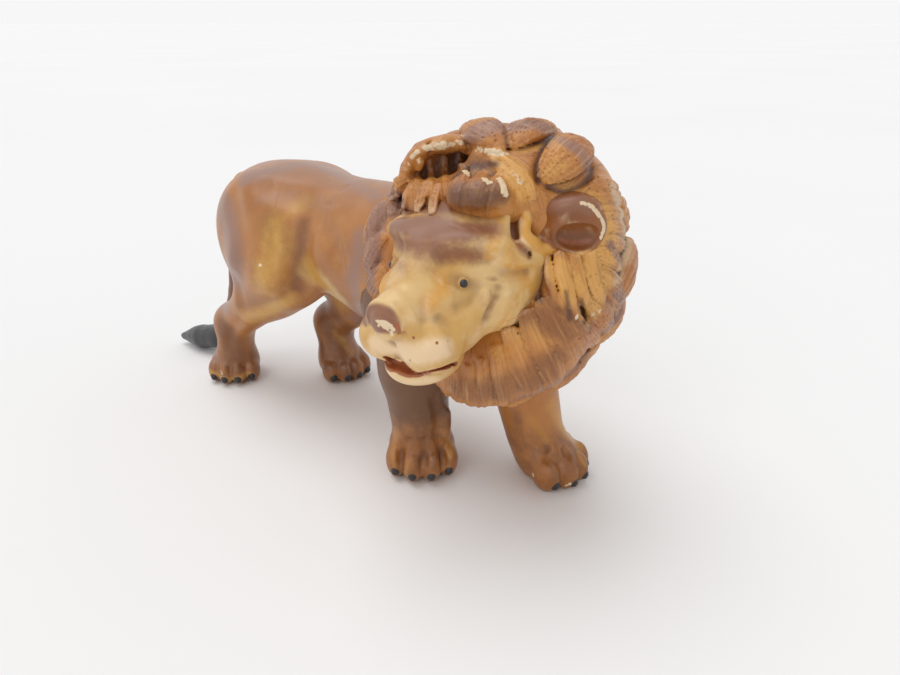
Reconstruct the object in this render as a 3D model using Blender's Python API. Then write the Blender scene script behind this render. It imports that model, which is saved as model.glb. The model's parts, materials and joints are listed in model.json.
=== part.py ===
"""A moulded toy lion that stands on four paws, its head turned over its right shoulder.

The lion faces -Y and +X is its left; metres, +Z up. The figure is laid out around the middle of
its torso, at x = y = 0, and at the end the whole of it moves sideways so that the origin lies on
the floor under the middle of its box. Torso, legs, tail, head, lower jaw and mane are separate
mouldings. Each is modelled as rounded lumps run together, then cut clear of the larger ones it
seats on, and legs, tail, head and jaw are held by round pegs in blind sockets.
"""

import math
from dataclasses import dataclass

import bmesh
import bpy
from mathutils import Euler, Matrix, Vector
from mathutils.bvhtree import BVHTree

MM = 0.001

# Torso
BACK_HEIGHT = 58.0 * MM
TORSO_LENGTH = 88.5 * MM
TORSO_WIDTH = 28.0 * MM
TORSO_DEPTH = 31.0 * MM

# Legs: a stride is how far a paw stands behind the joint that carries its leg
THIGH_WIDTH = 15.0 * MM
THIGH_LENGTH = 31.0 * MM
THIGH_DEPTH = 32.0 * MM
KNEE_THICKNESS = 13.0 * MM
SHANK_THICKNESS = 9.2 * MM
UPPER_ARM_THICKNESS = 19.0 * MM
FOREARM_THICKNESS = 14.0 * MM
WRIST_THICKNESS = 12.0 * MM
RIGHT_HIND_STRIDE = 19.3 * MM
LEFT_HIND_STRIDE = 1.0 * MM
RIGHT_FORE_STRIDE = 0.5 * MM
LEFT_FORE_STRIDE = -14.5 * MM

# Paws
FORE_PAW_WIDTH = 14.0 * MM
FORE_PAW_LENGTH = 15.0 * MM
FORE_PAW_HEIGHT = 10.0 * MM
HIND_PAW_WIDTH = 12.6 * MM
HIND_PAW_LENGTH = 13.2 * MM
HIND_PAW_HEIGHT = 8.6 * MM

# Degrees that each paw turns to the lion's right, and that a thigh leans back at the top
PAW_TURNS = {"right_hind_leg": 46.0, "left_hind_leg": 14.0, "right_fore_leg": 46.0, "left_fore_leg": 0.0}
THIGH_LEAN = 8.0

# Tail, and the degrees by which its tuft trails to the right
TAIL_ROOT_THICKNESS = 6.4 * MM
TAIL_THICKNESS = 4.2 * MM
TUFT_THICKNESS = 8.4 * MM
TUFT_LENGTH = 17.0 * MM
TUFT_TURN = 15.0
TAIL_CLEARANCE = 3.0 * MM

# Head and lower jaw, in degrees for the turn from straight ahead, the nod, and how far the ears
# turn outwards
HEAD_LENGTH = 40.0 * MM
HEAD_WIDTH = 27.0 * MM
HEAD_DEPTH = 26.0 * MM
HEAD_REACH = 1.0 * MM
HEAD_SHIFT = 8.0 * MM
HEAD_DROP = 5.4 * MM
HEAD_TURN = 85.0
HEAD_NOD = 4.0
EAR_WIDTH = 11.8 * MM
EAR_HEIGHT = 11.4 * MM
EAR_THICKNESS = 8.8 * MM
EAR_TURN = 36.0
JAW_LENGTH = 14.0 * MM
JAW_WIDTH = 11.6 * MM
JAW_DEPTH = 7.2 * MM

# Mane: how thick a lock is and how far it stands out, and the degrees that a lock of the rings
# runs back over the mane
MANE_WIDTH = 46.0 * MM
MANE_HEIGHT = 45.0 * MM
MANE_THICKNESS = 30.0 * MM
LOCK_THICKNESS = 7.0 * MM
LOCK_RELIEF = 2.4 * MM
LOCK_SWEEP = 34.0
CREST_THICKNESS = 5.4 * MM
FORELOCK_TIP_THICKNESS = 3.0 * MM

# Seats: the gap between two mouldings, and the pegs that hold them together
JOINT_GAP = 0.3 * MM
LEG_PEG_THICKNESS = 5.2 * MM
LEG_PEG_LENGTH = 5.0 * MM
NECK_PEG_THICKNESS = 9.0 * MM
NECK_PEG_LENGTH = 8.0 * MM
TAIL_PEG_THICKNESS = 3.0 * MM
TAIL_PEG_LENGTH = 5.0 * MM
JAW_PEG_THICKNESS = 3.0 * MM
JAW_PEG_LENGTH = 3.0 * MM

# Surface detail of the mouldings, how far a cut runs past what it cuts, how often the faces of
# balls, tapers and hollows are split, the sides of a peg, and the degrees of an edge that looks sharp
FINE_CELL = 0.8 * MM
COARSE_CELL = 1.1 * MM
CUT_OVERRUN = 200.0 * MM
BALL_DETAIL = 4
TAPER_DETAIL = 3
CARVED_DETAIL = 3
PEG_SIDES = 20
SHARP_ANGLE = 40.0

# Lumps of the torso from chest to rump. Place: shares of its width, length and depth, depth down
# from the top of the back. Size: shares of its width, length and depth.
TORSO_PLACE_SHARES = ((0, -0.229, 0.516), (0, -0.003, 0.445), (0, 0.235, 0.419), (0, 0.359, 0.532))
TORSO_SIZE_SHARES = ((1, 0.542, 1), (0.914, 0.542, 0.839), (0.929, 0.452, 0.865), (0.786, 0.282, 0.839))

# Where the legs join: sideways, along and down, shares of torso width, torso length and depth
HIND_HIP_SHARES = ((-0.286, 0.257, 0.581), (0.286, 0.234, 0.581))
FORE_TOP_SHARES = ((-0.286, -0.285, 0.71), (0.321, -0.364, 0.71))

# Hind knee from the hip: thigh widths outwards, thigh lengths forward, share of the hip's height
HIND_KNEE_SHARES = ((0.167, 0.355, 0.887), (0.233, 0.548, 0.75))
# Hock and ankle from the paw: thigh widths outwards, thigh lengths forward, share of hip height
HIND_HOCK_SHARES = ((0, 0.074, 0.412), (0, -0.097, 0.375))
HIND_ANKLE_SHARES = ((-0.033, 0.01, 0.2), (-0.033, -0.048, 0.2))
# Where the hind limb starts in the thigh: outwards, forward and down from the hip, in shares of the
# thigh, and its thickness there in knee thicknesses
HAUNCH_SHARES = (0.07, 0.1, 0.06)
HAUNCH_THICKNESS_SHARE = 1.38
# Where a hind paw stands out from the hip, in thigh widths
HIND_PAW_OUT_SHARES = (0.067, 0.2)
# Elbow and wrist: share of the stride made by then, and of the height of the top of the leg
ELBOW_SHARES = (0.43, 0.667)
WRIST_SHARES = (0.72, 0.27)
# Where a fore paw stands in from the top of the leg, in upper-arm thicknesses
FORE_PAW_IN_SHARES = (0.084, -0.053)

# A paw's toes, from the inner to the outer: sideways in paw widths, forward in paw lengths
TOE_PLACE_SHARES = ((-0.36, 0.17), (-0.125, 0.3), (0.125, 0.3), (0.36, 0.17))
TOE_SIZE_SHARES = (0.3, 0.4, 0.76)
# How high toes and pad lie and how thick the pad is, in paw heights: the floor trims the pad
TOE_RISE_SHARE = 0.34
PAD_RISE_SHARE = 0.42
PAD_HEIGHT_SHARE = 1.1

# Where the tail leaves the rump, shares of the torso's width, length and depth
TAIL_ROOT_SHARES = (0, 0.475, 0.26)
# The tail from its root: share of the drop, and of the way out to the tuft, with its thickness in
# tail thicknesses
TAIL_PATH_SHARES = ((0.13, 0.42, 1.35), (0.38, 0.66, 1.12), (0.62, 0.74, 1), (0.82, 0.92, 1))
# The tuft from where it starts: share of its length, and its thickness in tuft thicknesses
TUFT_PATH_SHARES = ((0, 0.88), (0.45, 1), (1, 0.3))
# Where the tuft starts: across the right hind paw in paw widths, and up in tuft thicknesses
TUFT_SIDE_SHARE = 0.4
TUFT_RISE_SHARE = 0.66

# The head's lumps. Place: forward, to its left and up, shares of its length, width and depth.
# Size: shares of the same three.
HEAD_PLACE_SHARES = ((0, 0, 0), (0.25, 0, 0.058), (0.375, 0, -0.23), (0.605, 0, -0.131))
HEAD_SIZE_SHARES = ((0.675, 0.919, 0.969), (0.45, 0.741, 0.577), (0.45, 0.63, 0.577), (0.125, 0.304, 0.2))
# Paired lumps, for the left side: cheek, brow and upper lip
HEAD_PAIR_PLACE_SHARES = ((0.15, 0.304, -0.131), (0.35, 0.235, 0.19), (0.525, 0.156, -0.308))
HEAD_PAIR_SIZE_SHARES = ((0.35, 0.311, 0.462), (0.16, 0.3, 0.17), (0.25, 0.34, 0.338))
# The bridge of the nose, from between the brows to the nose: place and thickness shares
BRIDGE_PLACE_SHARES = ((0.225, 0, 0.115), (0.588, 0, -0.123))
BRIDGE_THICKNESS_SHARES = (0.407, 0.296)
# The left eye's socket, in the same shares
SOCKET_PLACE_SHARE = (0.455, 0.337, 0.045)
SOCKET_SIZE_SHARE = (0.16, 0.24, 0.23)
# The left ear, and its bowl: forward, left and up from the ear's middle, then size, shares of the ear
EAR_PLACE_SHARE = (-0.055, 0.548, 0.215)
BOWL_PLACE_SHARE = (0.53, 0, -0.02)
BOWL_SIZE_SHARE = (0.66, 0.8, 0.68)
JAW_PLACE_SHARE = (0.45, 0, -0.485)

# The mane's lumps about the head's middle: forward, left and up, shares of its thickness, width and
# height, then their size in the same shares. The ruff, the back of the neck, the bib under the
# chin, the withers, the right side, cheek, left chin, lower left, upper left, top and forelock.
MANE_PLACE_SHARES = (
    (-0.167, 0.017, -0.022), (-0.433, -0.035, -0.067), (0.083, -0.022, -0.409), (-0.267, -0.304, -0.067),
    (0.067, -0.322, -0.078), (0.017, 0.278, -0.222), (0.1, 0.185, -0.344), (-0.233, 0.196, -0.178),
    (-0.267, 0.174, 0.133), (-0.1, -0.022, 0.211), (0.15, 0.043, 0.233),
)
MANE_SIZE_SHARES = (
    (0.64, 0.852, 0.844), (0.767, 0.835, 0.822), (0.567, 0.539, 0.453), (0.667, 0.413, 0.533),
    (0.533, 0.374, 0.533), (0.5, 0.27, 0.444), (0.467, 0.326, 0.356), (0.6, 0.47, 0.489),
    (0.6, 0.443, 0.471), (0.633, 0.543, 0.364), (0.3, 0.261, 0.178),
)
# The point that the locks are laid out about, in the same shares, and a lock's form from its root:
# share of its length, and thickness there
LOCK_MIDDLE_SHARE = (-0.2, 0, -0.067)
LOCK_FORM_SHARES = ((0, 0.7), (0.4, 1), (0.75, 0.9), (1, 0.5))
# Locks around the face, laid over the lumps from root to tip. Each end is given in degrees from
# straight ahead and in degrees up from the lion's left, then comes the thickness in lock
# thicknesses. Crown, left temple, left cheek, chin, right cheek, and the strands below the ear.
FACE_LOCKS = (
    (73, 84, 87, 108, 1.0), (76, 76, 98, 70, 1.05), (69, 56, 100, 58, 1.2), (81, 43, 107, 36, 0.5),
    (85, 34, 109, 25, 0.5), (85, 27, 114, 16, 0.45), (83, 20, 115, 4, 0.5), (79, 14, 106, -9, 0.55),
    (76, 6, 98, -22, 0.65), (71, -6, 93, -33, 0.6), (56, -2, 79, -36, 0.7), (49, -5, 74, -42, 0.75),
    (43, -15, 70, -50, 0.75), (40, -34, 65, -60, 0.75), (38, -50, 67, -75, 0.65), (39, -63, 64, -83, 0.5),
    (40, -77, 62, -89, 0.45), (44, -93, 59, -98, 0.45), (66, 152, 56, 176, 0.5), (53, 166, 56, 190, 0.5),
    (50, 180, 56, 204, 0.5), (50, 206, 62, 226, 0.5), (47, 230, 62, 248, 0.5),
    (63, 19, 64, -13, 0.4), (69, 15, 76, -15, 0.35), (76, 15, 82, -15, 0.35),
)
# Rings of locks over the rest of the mane, from the face backwards: degrees from straight ahead to
# their roots, and how many locks go round. A lock strays from its place by a share of its room.
LOCK_RINGS = ((70, 15), (94, 14), (118, 12), (142, 8), (164, 4))
RING_STRAY_SHARE = 0.2
# The rings leave out what faces this way, forward, left and up, closer than the limit does
FACE_WAY = (0.77, 0.54, 0.34)
FACE_WAY_LIMIT = 0.2
# The crest of hair above the forehead, from the right ear to the left, as places in the shares of the
# lumps, and the tips of the forelock below it
CREST_SHARES = (
    (0.16, -0.267, 0.26), (0.1, -0.217, 0.34), (0.03, -0.13, 0.365), (-0.03, -0.04, 0.35), (-0.02, 0.06, 0.345),
)
FORELOCK_TIP_SHARES = ((0.1, -0.04, 0.3), (0.15, 0.04, 0.31), (0.1, 0.12, 0.32))

# Smoothing passes that run the lumps together, and the share of triangles each moulding keeps
SMOOTHING = 0.5
BODY_PASSES = 14
LEG_PASSES = 5
FACE_PASSES = 4
MANE_PASSES = 2
TORSO_KEEP_SHARE = 0.09
LEG_KEEP_SHARE = 0.09
TAIL_KEEP_SHARE = 0.14
HEAD_KEEP_SHARE = 0.16
JAW_KEEP_SHARE = 0.2
MANE_KEEP_SHARE = 0.2

# Worn paint: base colour, then roughness
TAWNY = ((0.42, 0.17, 0.045), 0.45)
DARK_TAWNY = ((0.3, 0.11, 0.035), 0.45)
CREAM = ((0.62, 0.4, 0.14), 0.5)
PALE_CREAM = ((0.7, 0.5, 0.22), 0.5)
MANE_BROWN = ((0.24, 0.08, 0.025), 0.45)
SLATE = ((0.045, 0.05, 0.055), 0.5)


@dataclass
class Moulding:
    """One piece of the figure, and the room that it takes up with the joint gap around it."""

    body: bpy.types.Object
    room: bpy.types.Mesh


def scaled(shares: tuple, sizes: tuple) -> Vector:
    """Turn shares into a vector of lengths."""
    return Vector([share * size for share, size in zip(shares, sizes)])


def add_ball(shape: bmesh.types.BMesh, middle: Vector, size: Vector, turn: Matrix | None = None) -> None:
    """Add an ellipsoid with the given full widths, turned about its middle."""
    spin = turn.to_4x4() if turn else Matrix.Identity(4)
    place = Matrix.Translation(middle) @ spin @ Matrix.Diagonal((*(size / 2), 1))
    bmesh.ops.create_icosphere(shape, subdivisions=BALL_DETAIL, radius=1, matrix=place)


def add_taper(shape: bmesh.types.BMesh, ends: tuple, thicknesses: tuple) -> None:
    """Add a round-ended taper: the hull of a ball at each end."""
    hull = bmesh.new()
    for middle, thickness in zip(ends, thicknesses):
        bmesh.ops.create_icosphere(
            hull, subdivisions=TAPER_DETAIL, radius=thickness / 2, matrix=Matrix.Translation(middle)
        )
    bmesh.ops.delete(hull, geom=hull.edges[:], context="EDGES_FACES")
    wrapped = bmesh.ops.convex_hull(hull, input=hull.verts[:])
    inside = [item for item in wrapped["geom_interior"] if isinstance(item, bmesh.types.BMVert)]
    bmesh.ops.delete(hull, geom=inside, context="VERTS")
    mesh = bpy.data.meshes.new("taper")
    hull.to_mesh(mesh)
    hull.free()
    shape.from_mesh(mesh)
    bpy.data.meshes.remove(mesh)


def add_limb(shape: bmesh.types.BMesh, places: list, thicknesses: list) -> None:
    """Add a chain of tapers through places, each with its thickness there."""
    for step in range(len(places) - 1):
        add_taper(shape, places[step:step + 2], thicknesses[step:step + 2])


def new_object(name: str, shape: bmesh.types.BMesh) -> bpy.types.Object:
    """Put a shape into the scene as an object, and free it."""
    mesh = bpy.data.meshes.new(name)
    shape.to_mesh(mesh)
    shape.free()
    thing = bpy.data.objects.new(name, mesh)
    bpy.context.scene.collection.objects.link(thing)
    return thing


def apply_modifiers(thing: bpy.types.Object) -> None:
    """Replace an object's mesh by its largest body once all its modifiers are worked out."""
    graph = bpy.context.evaluated_depsgraph_get()
    mesh = bpy.data.meshes.new_from_object(thing.evaluated_get(graph))
    thing.modifiers.clear()
    thing.data = mesh
    keep_largest_body(mesh)


def body_volume(faces: list) -> float:
    """The volume inside closed faces, as a sum of tetrahedra to the world's origin."""
    total = 0.0
    for face in faces:
        corners = [vert.co for vert in face.verts]
        for second, third in zip(corners[1:], corners[2:]):
            total += corners[0].dot(second.cross(third)) / 6
    return total


def keep_largest_body(mesh: bpy.types.Mesh) -> None:
    """Remove every loose body of a mesh but the one that holds the most."""
    shape = bmesh.new()
    shape.from_mesh(mesh)
    waiting = set(shape.faces)
    bodies = []
    while waiting:
        front = [waiting.pop()]
        body = list(front)
        while front:
            face = front.pop()
            for edge in face.edges:
                for other in edge.link_faces:
                    if other in waiting:
                        waiting.remove(other)
                        front.append(other)
                        body.append(other)
        bodies.append(body)
    bodies.sort(key=body_volume)
    for body in bodies[:-1]:
        bmesh.ops.delete(shape, geom=list({vert for face in body for vert in face.verts}), context="VERTS")
    shape.to_mesh(mesh)
    shape.free()


def mould(name: str, shape: bmesh.types.BMesh, cell: float, passes: int, keep_share: float) -> Moulding:
    """Run overlapping lumps together into one smooth skin of few triangles, before any cuts."""
    thing = new_object(name, shape)
    skin = thing.modifiers.new("one skin", "REMESH")
    skin.mode = "VOXEL"
    skin.voxel_size = cell
    blend = thing.modifiers.new("blend", "SMOOTH")
    blend.factor = SMOOTHING
    blend.iterations = passes
    lighten = thing.modifiers.new("lighten", "DECIMATE")
    lighten.ratio = keep_share
    apply_modifiers(thing)
    return Moulding(thing, swollen(thing))


def guide(thing: bpy.types.Object) -> bpy.types.Object:
    """Mark an object as one that only shapes others."""
    thing.hide_render = True
    thing.display_type = "WIRE"
    return thing


def swollen(thing: bpy.types.Object) -> bpy.types.Mesh:
    """A copy of an object's mesh, swollen by the joint gap."""
    copy = bpy.data.objects.new("swollen", thing.data.copy())
    bpy.context.scene.collection.objects.link(copy)
    swell = copy.modifiers.new("gap", "DISPLACE")
    swell.mid_level = 0
    swell.strength = JOINT_GAP
    apply_modifiers(copy)
    mesh = copy.data
    bpy.data.objects.remove(copy)
    return mesh


def combine(thing: bpy.types.Object, other: bpy.types.Object, operation: str) -> None:
    """Cut one object by another or join it on, and remove the other."""
    step = thing.modifiers.new(other.name, "BOOLEAN")
    step.operation = operation
    step.object = other
    apply_modifiers(thing)
    bpy.data.objects.remove(other)


def carve(piece: Moulding, middle: Vector, size: Vector, turn: Matrix) -> None:
    """Carve an ellipsoid with the given full widths out of a moulding."""
    shape = bmesh.new()
    place = Matrix.Translation(middle) @ turn.to_4x4() @ Matrix.Diagonal((*(size / 2), 1))
    bmesh.ops.create_icosphere(shape, subdivisions=CARVED_DETAIL, radius=1, matrix=place)
    combine(piece.body, guide(new_object("hollow", shape)), "DIFFERENCE")


def seat(piece: Moulding, hosts: list[Moulding]) -> None:
    """Cut a piece clear of the mouldings it seats on."""
    for host in hosts:
        cutter = guide(bpy.data.objects.new("seat on " + host.body.name, host.room))
        bpy.context.scene.collection.objects.link(cutter)
        combine(piece.body, cutter, "DIFFERENCE")


def box(name: str, low: Vector, high: Vector) -> bpy.types.Object:
    """A block between two corners."""
    shape = bmesh.new()
    place = Matrix.Translation((low + high) / 2) @ Matrix.Diagonal((*(high - low), 1))
    bmesh.ops.create_cube(shape, size=1, matrix=place)
    return guide(new_object(name, shape))


def cut_flat(thing: bpy.types.Object) -> None:
    """Cut a moulding flat at the floor."""
    reach = CUT_OVERRUN
    below = box("below the floor", Vector((-reach, -reach, -reach)), Vector((reach, reach, 0)))
    combine(thing, below, "DIFFERENCE")


def cut_side(thing: bpy.types.Object, side: int) -> None:
    """Keep a leg on its own side of the lion's middle plane: -1 is the right, 1 the left."""
    reach = CUT_OVERRUN
    edge = side * JOINT_GAP / 2
    low = Vector((min(edge, -side * reach), -reach, -reach))
    high = Vector((max(edge, -side * reach), reach, reach))
    combine(thing, box("past the middle", low, high), "DIFFERENCE")


def rod(name: str, start: Vector, end: Vector, thickness: float) -> bpy.types.Object:
    """A round rod between two points."""
    shape = bmesh.new()
    along = end - start
    place = Matrix.Translation((start + end) / 2) @ along.to_track_quat("Z", "Y").to_matrix().to_4x4()
    bmesh.ops.create_cone(
        shape, cap_ends=True, segments=PEG_SIDES, radius1=thickness / 2, radius2=thickness / 2,
        depth=along.length, matrix=place,
    )
    return guide(new_object(name, shape))


def first_touch(thing: bpy.types.Object, start: Vector, way: Vector) -> Vector:
    """Where a line from outside first meets a moulding's skin."""
    shape = bmesh.new()
    shape.from_mesh(thing.data)
    touched = BVHTree.FromBMesh(shape).ray_cast(start, way)[0]
    shape.free()
    return touched


def peg(piece: Moulding, host: Moulding, through: Vector, way: Vector,
        thickness: float, length: float) -> None:
    """Give a moulding a peg along a line into its host, and the host a socket for it.

    The peg starts halfway through what the moulding has outside its host on that line.
    """
    way = way.normalized()
    far = through - way * CUT_OVERRUN
    skin = first_touch(host.body, far, way)
    outside = first_touch(piece.body, far, way)
    start = (skin + outside) / 2
    end = skin + way * length
    combine(piece.body, rod("peg of " + piece.body.name, start, end, thickness), "UNION")
    socket = rod("socket", skin - way * length, end + way * JOINT_GAP, thickness + 2 * JOINT_GAP)
    combine(host.body, socket, "DIFFERENCE")


def torso_point(shares: tuple) -> Vector:
    """A point in the torso from shares of its width, length and depth below the back."""
    across, along, down = shares
    return Vector((across * TORSO_WIDTH, along * TORSO_LENGTH, BACK_HEIGHT - down * TORSO_DEPTH))


def make_torso() -> Moulding:
    """The barrel, chest and rump."""
    shape = bmesh.new()
    for place, size in zip(TORSO_PLACE_SHARES, TORSO_SIZE_SHARES):
        add_ball(shape, torso_point(place), scaled(size, (TORSO_WIDTH, TORSO_LENGTH, TORSO_DEPTH)))
    return mould("torso", shape, COARSE_CELL, BODY_PASSES, TORSO_KEEP_SHARE)


def add_paw(shape: bmesh.types.BMesh, place: Vector, turn: float, size: tuple) -> None:
    """Add a paw with four toes, standing at a place and turned by degrees to the lion's right."""
    width, length, height = size
    spin = Matrix.Rotation(math.radians(-turn), 3, "Z")
    pad = Vector((0, 0, height * PAD_RISE_SHARE))
    add_ball(shape, place + pad, Vector((width, length, height * PAD_HEIGHT_SHARE)), spin)
    for across, forward in TOE_PLACE_SHARES:
        toe = spin @ Vector((across * width, -forward * length, height * TOE_RISE_SHARE))
        add_ball(shape, place + toe, scaled(TOE_SIZE_SHARES, size), spin)


def finish_leg(leg: Moulding, torso: Moulding, top: Vector, side: int) -> None:
    """Seat a leg on the torso, cut its sole flat and peg it in."""
    cut_flat(leg.body)
    cut_side(leg.body, side)
    seat(leg, [torso])
    peg(leg, torso, top, Vector((-side, 0, 0)), LEG_PEG_THICKNESS, LEG_PEG_LENGTH)


def hind_foot(index: int) -> Vector:
    """Where the right (0) or left (1) hind paw stands."""
    side = (-1, 1)[index]
    hip = torso_point(HIND_HIP_SHARES[index])
    out = side * HIND_PAW_OUT_SHARES[index] * THIGH_WIDTH
    stride = (RIGHT_HIND_STRIDE, LEFT_HIND_STRIDE)[index]
    return Vector((hip.x + out, hip.y + stride, 0))


def hind_step(origin: Vector, shares: tuple, side: int, hip_height: float) -> Vector:
    """A point of a hind leg from shares outwards, forward and of the hip's height."""
    outward, forward, up = shares
    return Vector((
        origin.x + side * outward * THIGH_WIDTH,
        origin.y - forward * THIGH_LENGTH,
        up * hip_height,
    ))


def make_hind_leg(name: str, index: int, torso: Moulding) -> Moulding:
    """Thigh, shank, hock and paw of the right (0) or left (1) hind leg."""
    side = (-1, 1)[index]
    hip = torso_point(HIND_HIP_SHARES[index])
    foot = hind_foot(index)
    knee = hind_step(hip, HIND_KNEE_SHARES[index], side, hip.z)
    hock = hind_step(foot, HIND_HOCK_SHARES[index], side, hip.z)
    ankle = hind_step(foot, HIND_ANKLE_SHARES[index], side, hip.z)
    shape = bmesh.new()
    thigh = Vector((THIGH_WIDTH, THIGH_LENGTH, THIGH_DEPTH))
    add_ball(shape, hip, thigh, Matrix.Rotation(math.radians(THIGH_LEAN), 3, "X"))
    outward, forward, down = HAUNCH_SHARES
    haunch = hip + Vector((side * outward * thigh.x, -forward * thigh.y, -down * thigh.z))
    add_limb(
        shape, [haunch, knee, hock, ankle],
        [KNEE_THICKNESS * HAUNCH_THICKNESS_SHARE, KNEE_THICKNESS, SHANK_THICKNESS, SHANK_THICKNESS],
    )
    add_paw(shape, foot, PAW_TURNS[name], (HIND_PAW_WIDTH, HIND_PAW_LENGTH, HIND_PAW_HEIGHT))
    leg = mould(name, shape, FINE_CELL, LEG_PASSES, LEG_KEEP_SHARE)
    finish_leg(leg, torso, hip, side)
    return leg


def make_fore_leg(name: str, index: int, torso: Moulding) -> Moulding:
    """Upper arm, forearm, wrist and paw of the right (0) or left (1) fore leg."""
    side = (-1, 1)[index]
    top = torso_point(FORE_TOP_SHARES[index])
    stride = (RIGHT_FORE_STRIDE, LEFT_FORE_STRIDE)[index]
    inward = -side * FORE_PAW_IN_SHARES[index] * UPPER_ARM_THICKNESS
    joints = [top]
    for made, up in (ELBOW_SHARES, WRIST_SHARES):
        joints.append(Vector((top.x + made * inward, top.y + made * stride, up * top.z)))
    foot = Vector((top.x + inward, top.y + stride, 0))
    shape = bmesh.new()
    add_limb(shape, joints, [UPPER_ARM_THICKNESS, FOREARM_THICKNESS, WRIST_THICKNESS])
    add_paw(shape, foot, PAW_TURNS[name], (FORE_PAW_WIDTH, FORE_PAW_LENGTH, FORE_PAW_HEIGHT))
    leg = mould(name, shape, FINE_CELL, LEG_PASSES, LEG_KEEP_SHARE)
    finish_leg(leg, torso, top, side)
    return leg


def make_tail(torso: Moulding, others: list[Moulding]) -> Moulding:
    """The tail, hanging clear behind the right hind paw, with the tuft trailing from it."""
    root = torso_point(TAIL_ROOT_SHARES)
    paw = hind_foot(0)
    tuft_start = Vector((
        paw.x + HIND_PAW_WIDTH * TUFT_SIDE_SHARE,
        paw.y + HIND_PAW_LENGTH / 2 + TAIL_CLEARANCE + TUFT_THICKNESS / 2,
        TUFT_THICKNESS * TUFT_RISE_SHARE,
    ))
    aside = math.radians(TUFT_TURN)
    trail = Vector((-math.sin(aside), math.cos(aside), 0)) * TUFT_LENGTH
    places = [root]
    thicknesses = [TAIL_ROOT_THICKNESS]
    for down, out, share in TAIL_PATH_SHARES:
        places.append(Vector((
            tuft_start.x * down ** 3,
            root.y + (tuft_start.y - root.y) * out,
            root.z + (tuft_start.z - root.z) * down,
        )))
        thicknesses.append(TAIL_THICKNESS * share)
    for along, share in TUFT_PATH_SHARES:
        places.append(tuft_start + trail * along)
        thicknesses.append(TUFT_THICKNESS * share)
    shape = bmesh.new()
    add_limb(shape, places, thicknesses)
    tail = mould("tail", shape, FINE_CELL, FACE_PASSES, TAIL_KEEP_SHARE)
    seat(tail, [torso] + others)
    peg(tail, torso, root, Vector((0, -1, 0)), TAIL_PEG_THICKNESS, TAIL_PEG_LENGTH)
    return tail


def head_middle() -> Vector:
    """The middle of the skull."""
    return Vector((-HEAD_SHIFT, HEAD_REACH - TORSO_LENGTH / 2, BACK_HEIGHT - HEAD_DROP))


def head_turn() -> Matrix:
    """Columns: the head's forward, left and up."""
    ahead = Euler((0, math.radians(HEAD_NOD), 0)).to_matrix()
    return Matrix.Rotation(math.radians(-90 - HEAD_TURN), 3, "Z") @ ahead


def head_point(shares: tuple, sizes: tuple) -> Vector:
    """A point from shares forward, left and up from the middle of the skull."""
    return head_middle() + head_turn() @ scaled(shares, sizes)


def ear_middle(side: int) -> Vector:
    """The middle of the right (-1) or left (1) ear."""
    forward, left, up = EAR_PLACE_SHARE
    return head_point((forward, side * left, up), (HEAD_LENGTH, HEAD_WIDTH, HEAD_DEPTH))


def ear_turn(side: int) -> Matrix:
    """Columns: forward, left and up of the right (-1) or left (1) ear, which turns outwards."""
    return head_turn() @ Matrix.Rotation(side * math.radians(EAR_TURN), 3, "Z")


def make_head(torso: Moulding, others: list[Moulding]) -> Moulding:
    """Skull, muzzle, brows, cheeks, nose and ears."""
    sizes = (HEAD_LENGTH, HEAD_WIDTH, HEAD_DEPTH)
    turn = head_turn()
    shape = bmesh.new()
    for place, size in zip(HEAD_PLACE_SHARES, HEAD_SIZE_SHARES):
        add_ball(shape, head_point(place, sizes), scaled(size, sizes), turn)
    for (forward, left, up), size in zip(HEAD_PAIR_PLACE_SHARES, HEAD_PAIR_SIZE_SHARES):
        for side in (-1, 1):
            add_ball(shape, head_point((forward, side * left, up), sizes), scaled(size, sizes), turn)
    bridge = [head_point(place, sizes) for place in BRIDGE_PLACE_SHARES]
    add_limb(shape, bridge, [share * HEAD_WIDTH for share in BRIDGE_THICKNESS_SHARES])
    ear = (EAR_THICKNESS, EAR_WIDTH, EAR_HEIGHT)
    for side in (-1, 1):
        add_ball(shape, ear_middle(side), Vector(ear), ear_turn(side))
    head = mould("head", shape, FINE_CELL, FACE_PASSES, HEAD_KEEP_SHARE)
    forward, left, up = SOCKET_PLACE_SHARE
    for side in (-1, 1):
        carve(head, head_point((forward, side * left, up), sizes), scaled(SOCKET_SIZE_SHARE, sizes), turn)
        bowl = ear_middle(side) + ear_turn(side) @ scaled(BOWL_PLACE_SHARE, ear)
        carve(head, bowl, scaled(BOWL_SIZE_SHARE, ear), ear_turn(side))
    seat(head, [torso] + others)
    chest = torso_point(TORSO_PLACE_SHARES[0])
    peg(head, torso, head_middle(), chest - head_middle(), NECK_PEG_THICKNESS, NECK_PEG_LENGTH)
    return head


def make_jaw(head: Moulding, others: list[Moulding]) -> Moulding:
    """The lower jaw, under the muzzle."""
    middle = head_point(JAW_PLACE_SHARE, (HEAD_LENGTH, HEAD_WIDTH, HEAD_DEPTH))
    shape = bmesh.new()
    add_ball(shape, middle, Vector((JAW_LENGTH, JAW_WIDTH, JAW_DEPTH)), head_turn())
    jaw = mould("lower_jaw", shape, FINE_CELL, FACE_PASSES, JAW_KEEP_SHARE)
    seat(jaw, [head] + others)
    peg(jaw, head, middle, head_turn().col[2], JAW_PEG_THICKNESS, JAW_PEG_LENGTH)
    return jaw


def lock_way(ahead: float, around: float) -> Vector:
    """The way at degrees from straight ahead and degrees up from the lion's left, in the head's axes."""
    tilt = math.radians(ahead)
    spin = math.radians(around)
    return Vector((math.cos(tilt), math.sin(tilt) * math.cos(spin), math.sin(tilt) * math.sin(spin)))


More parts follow.
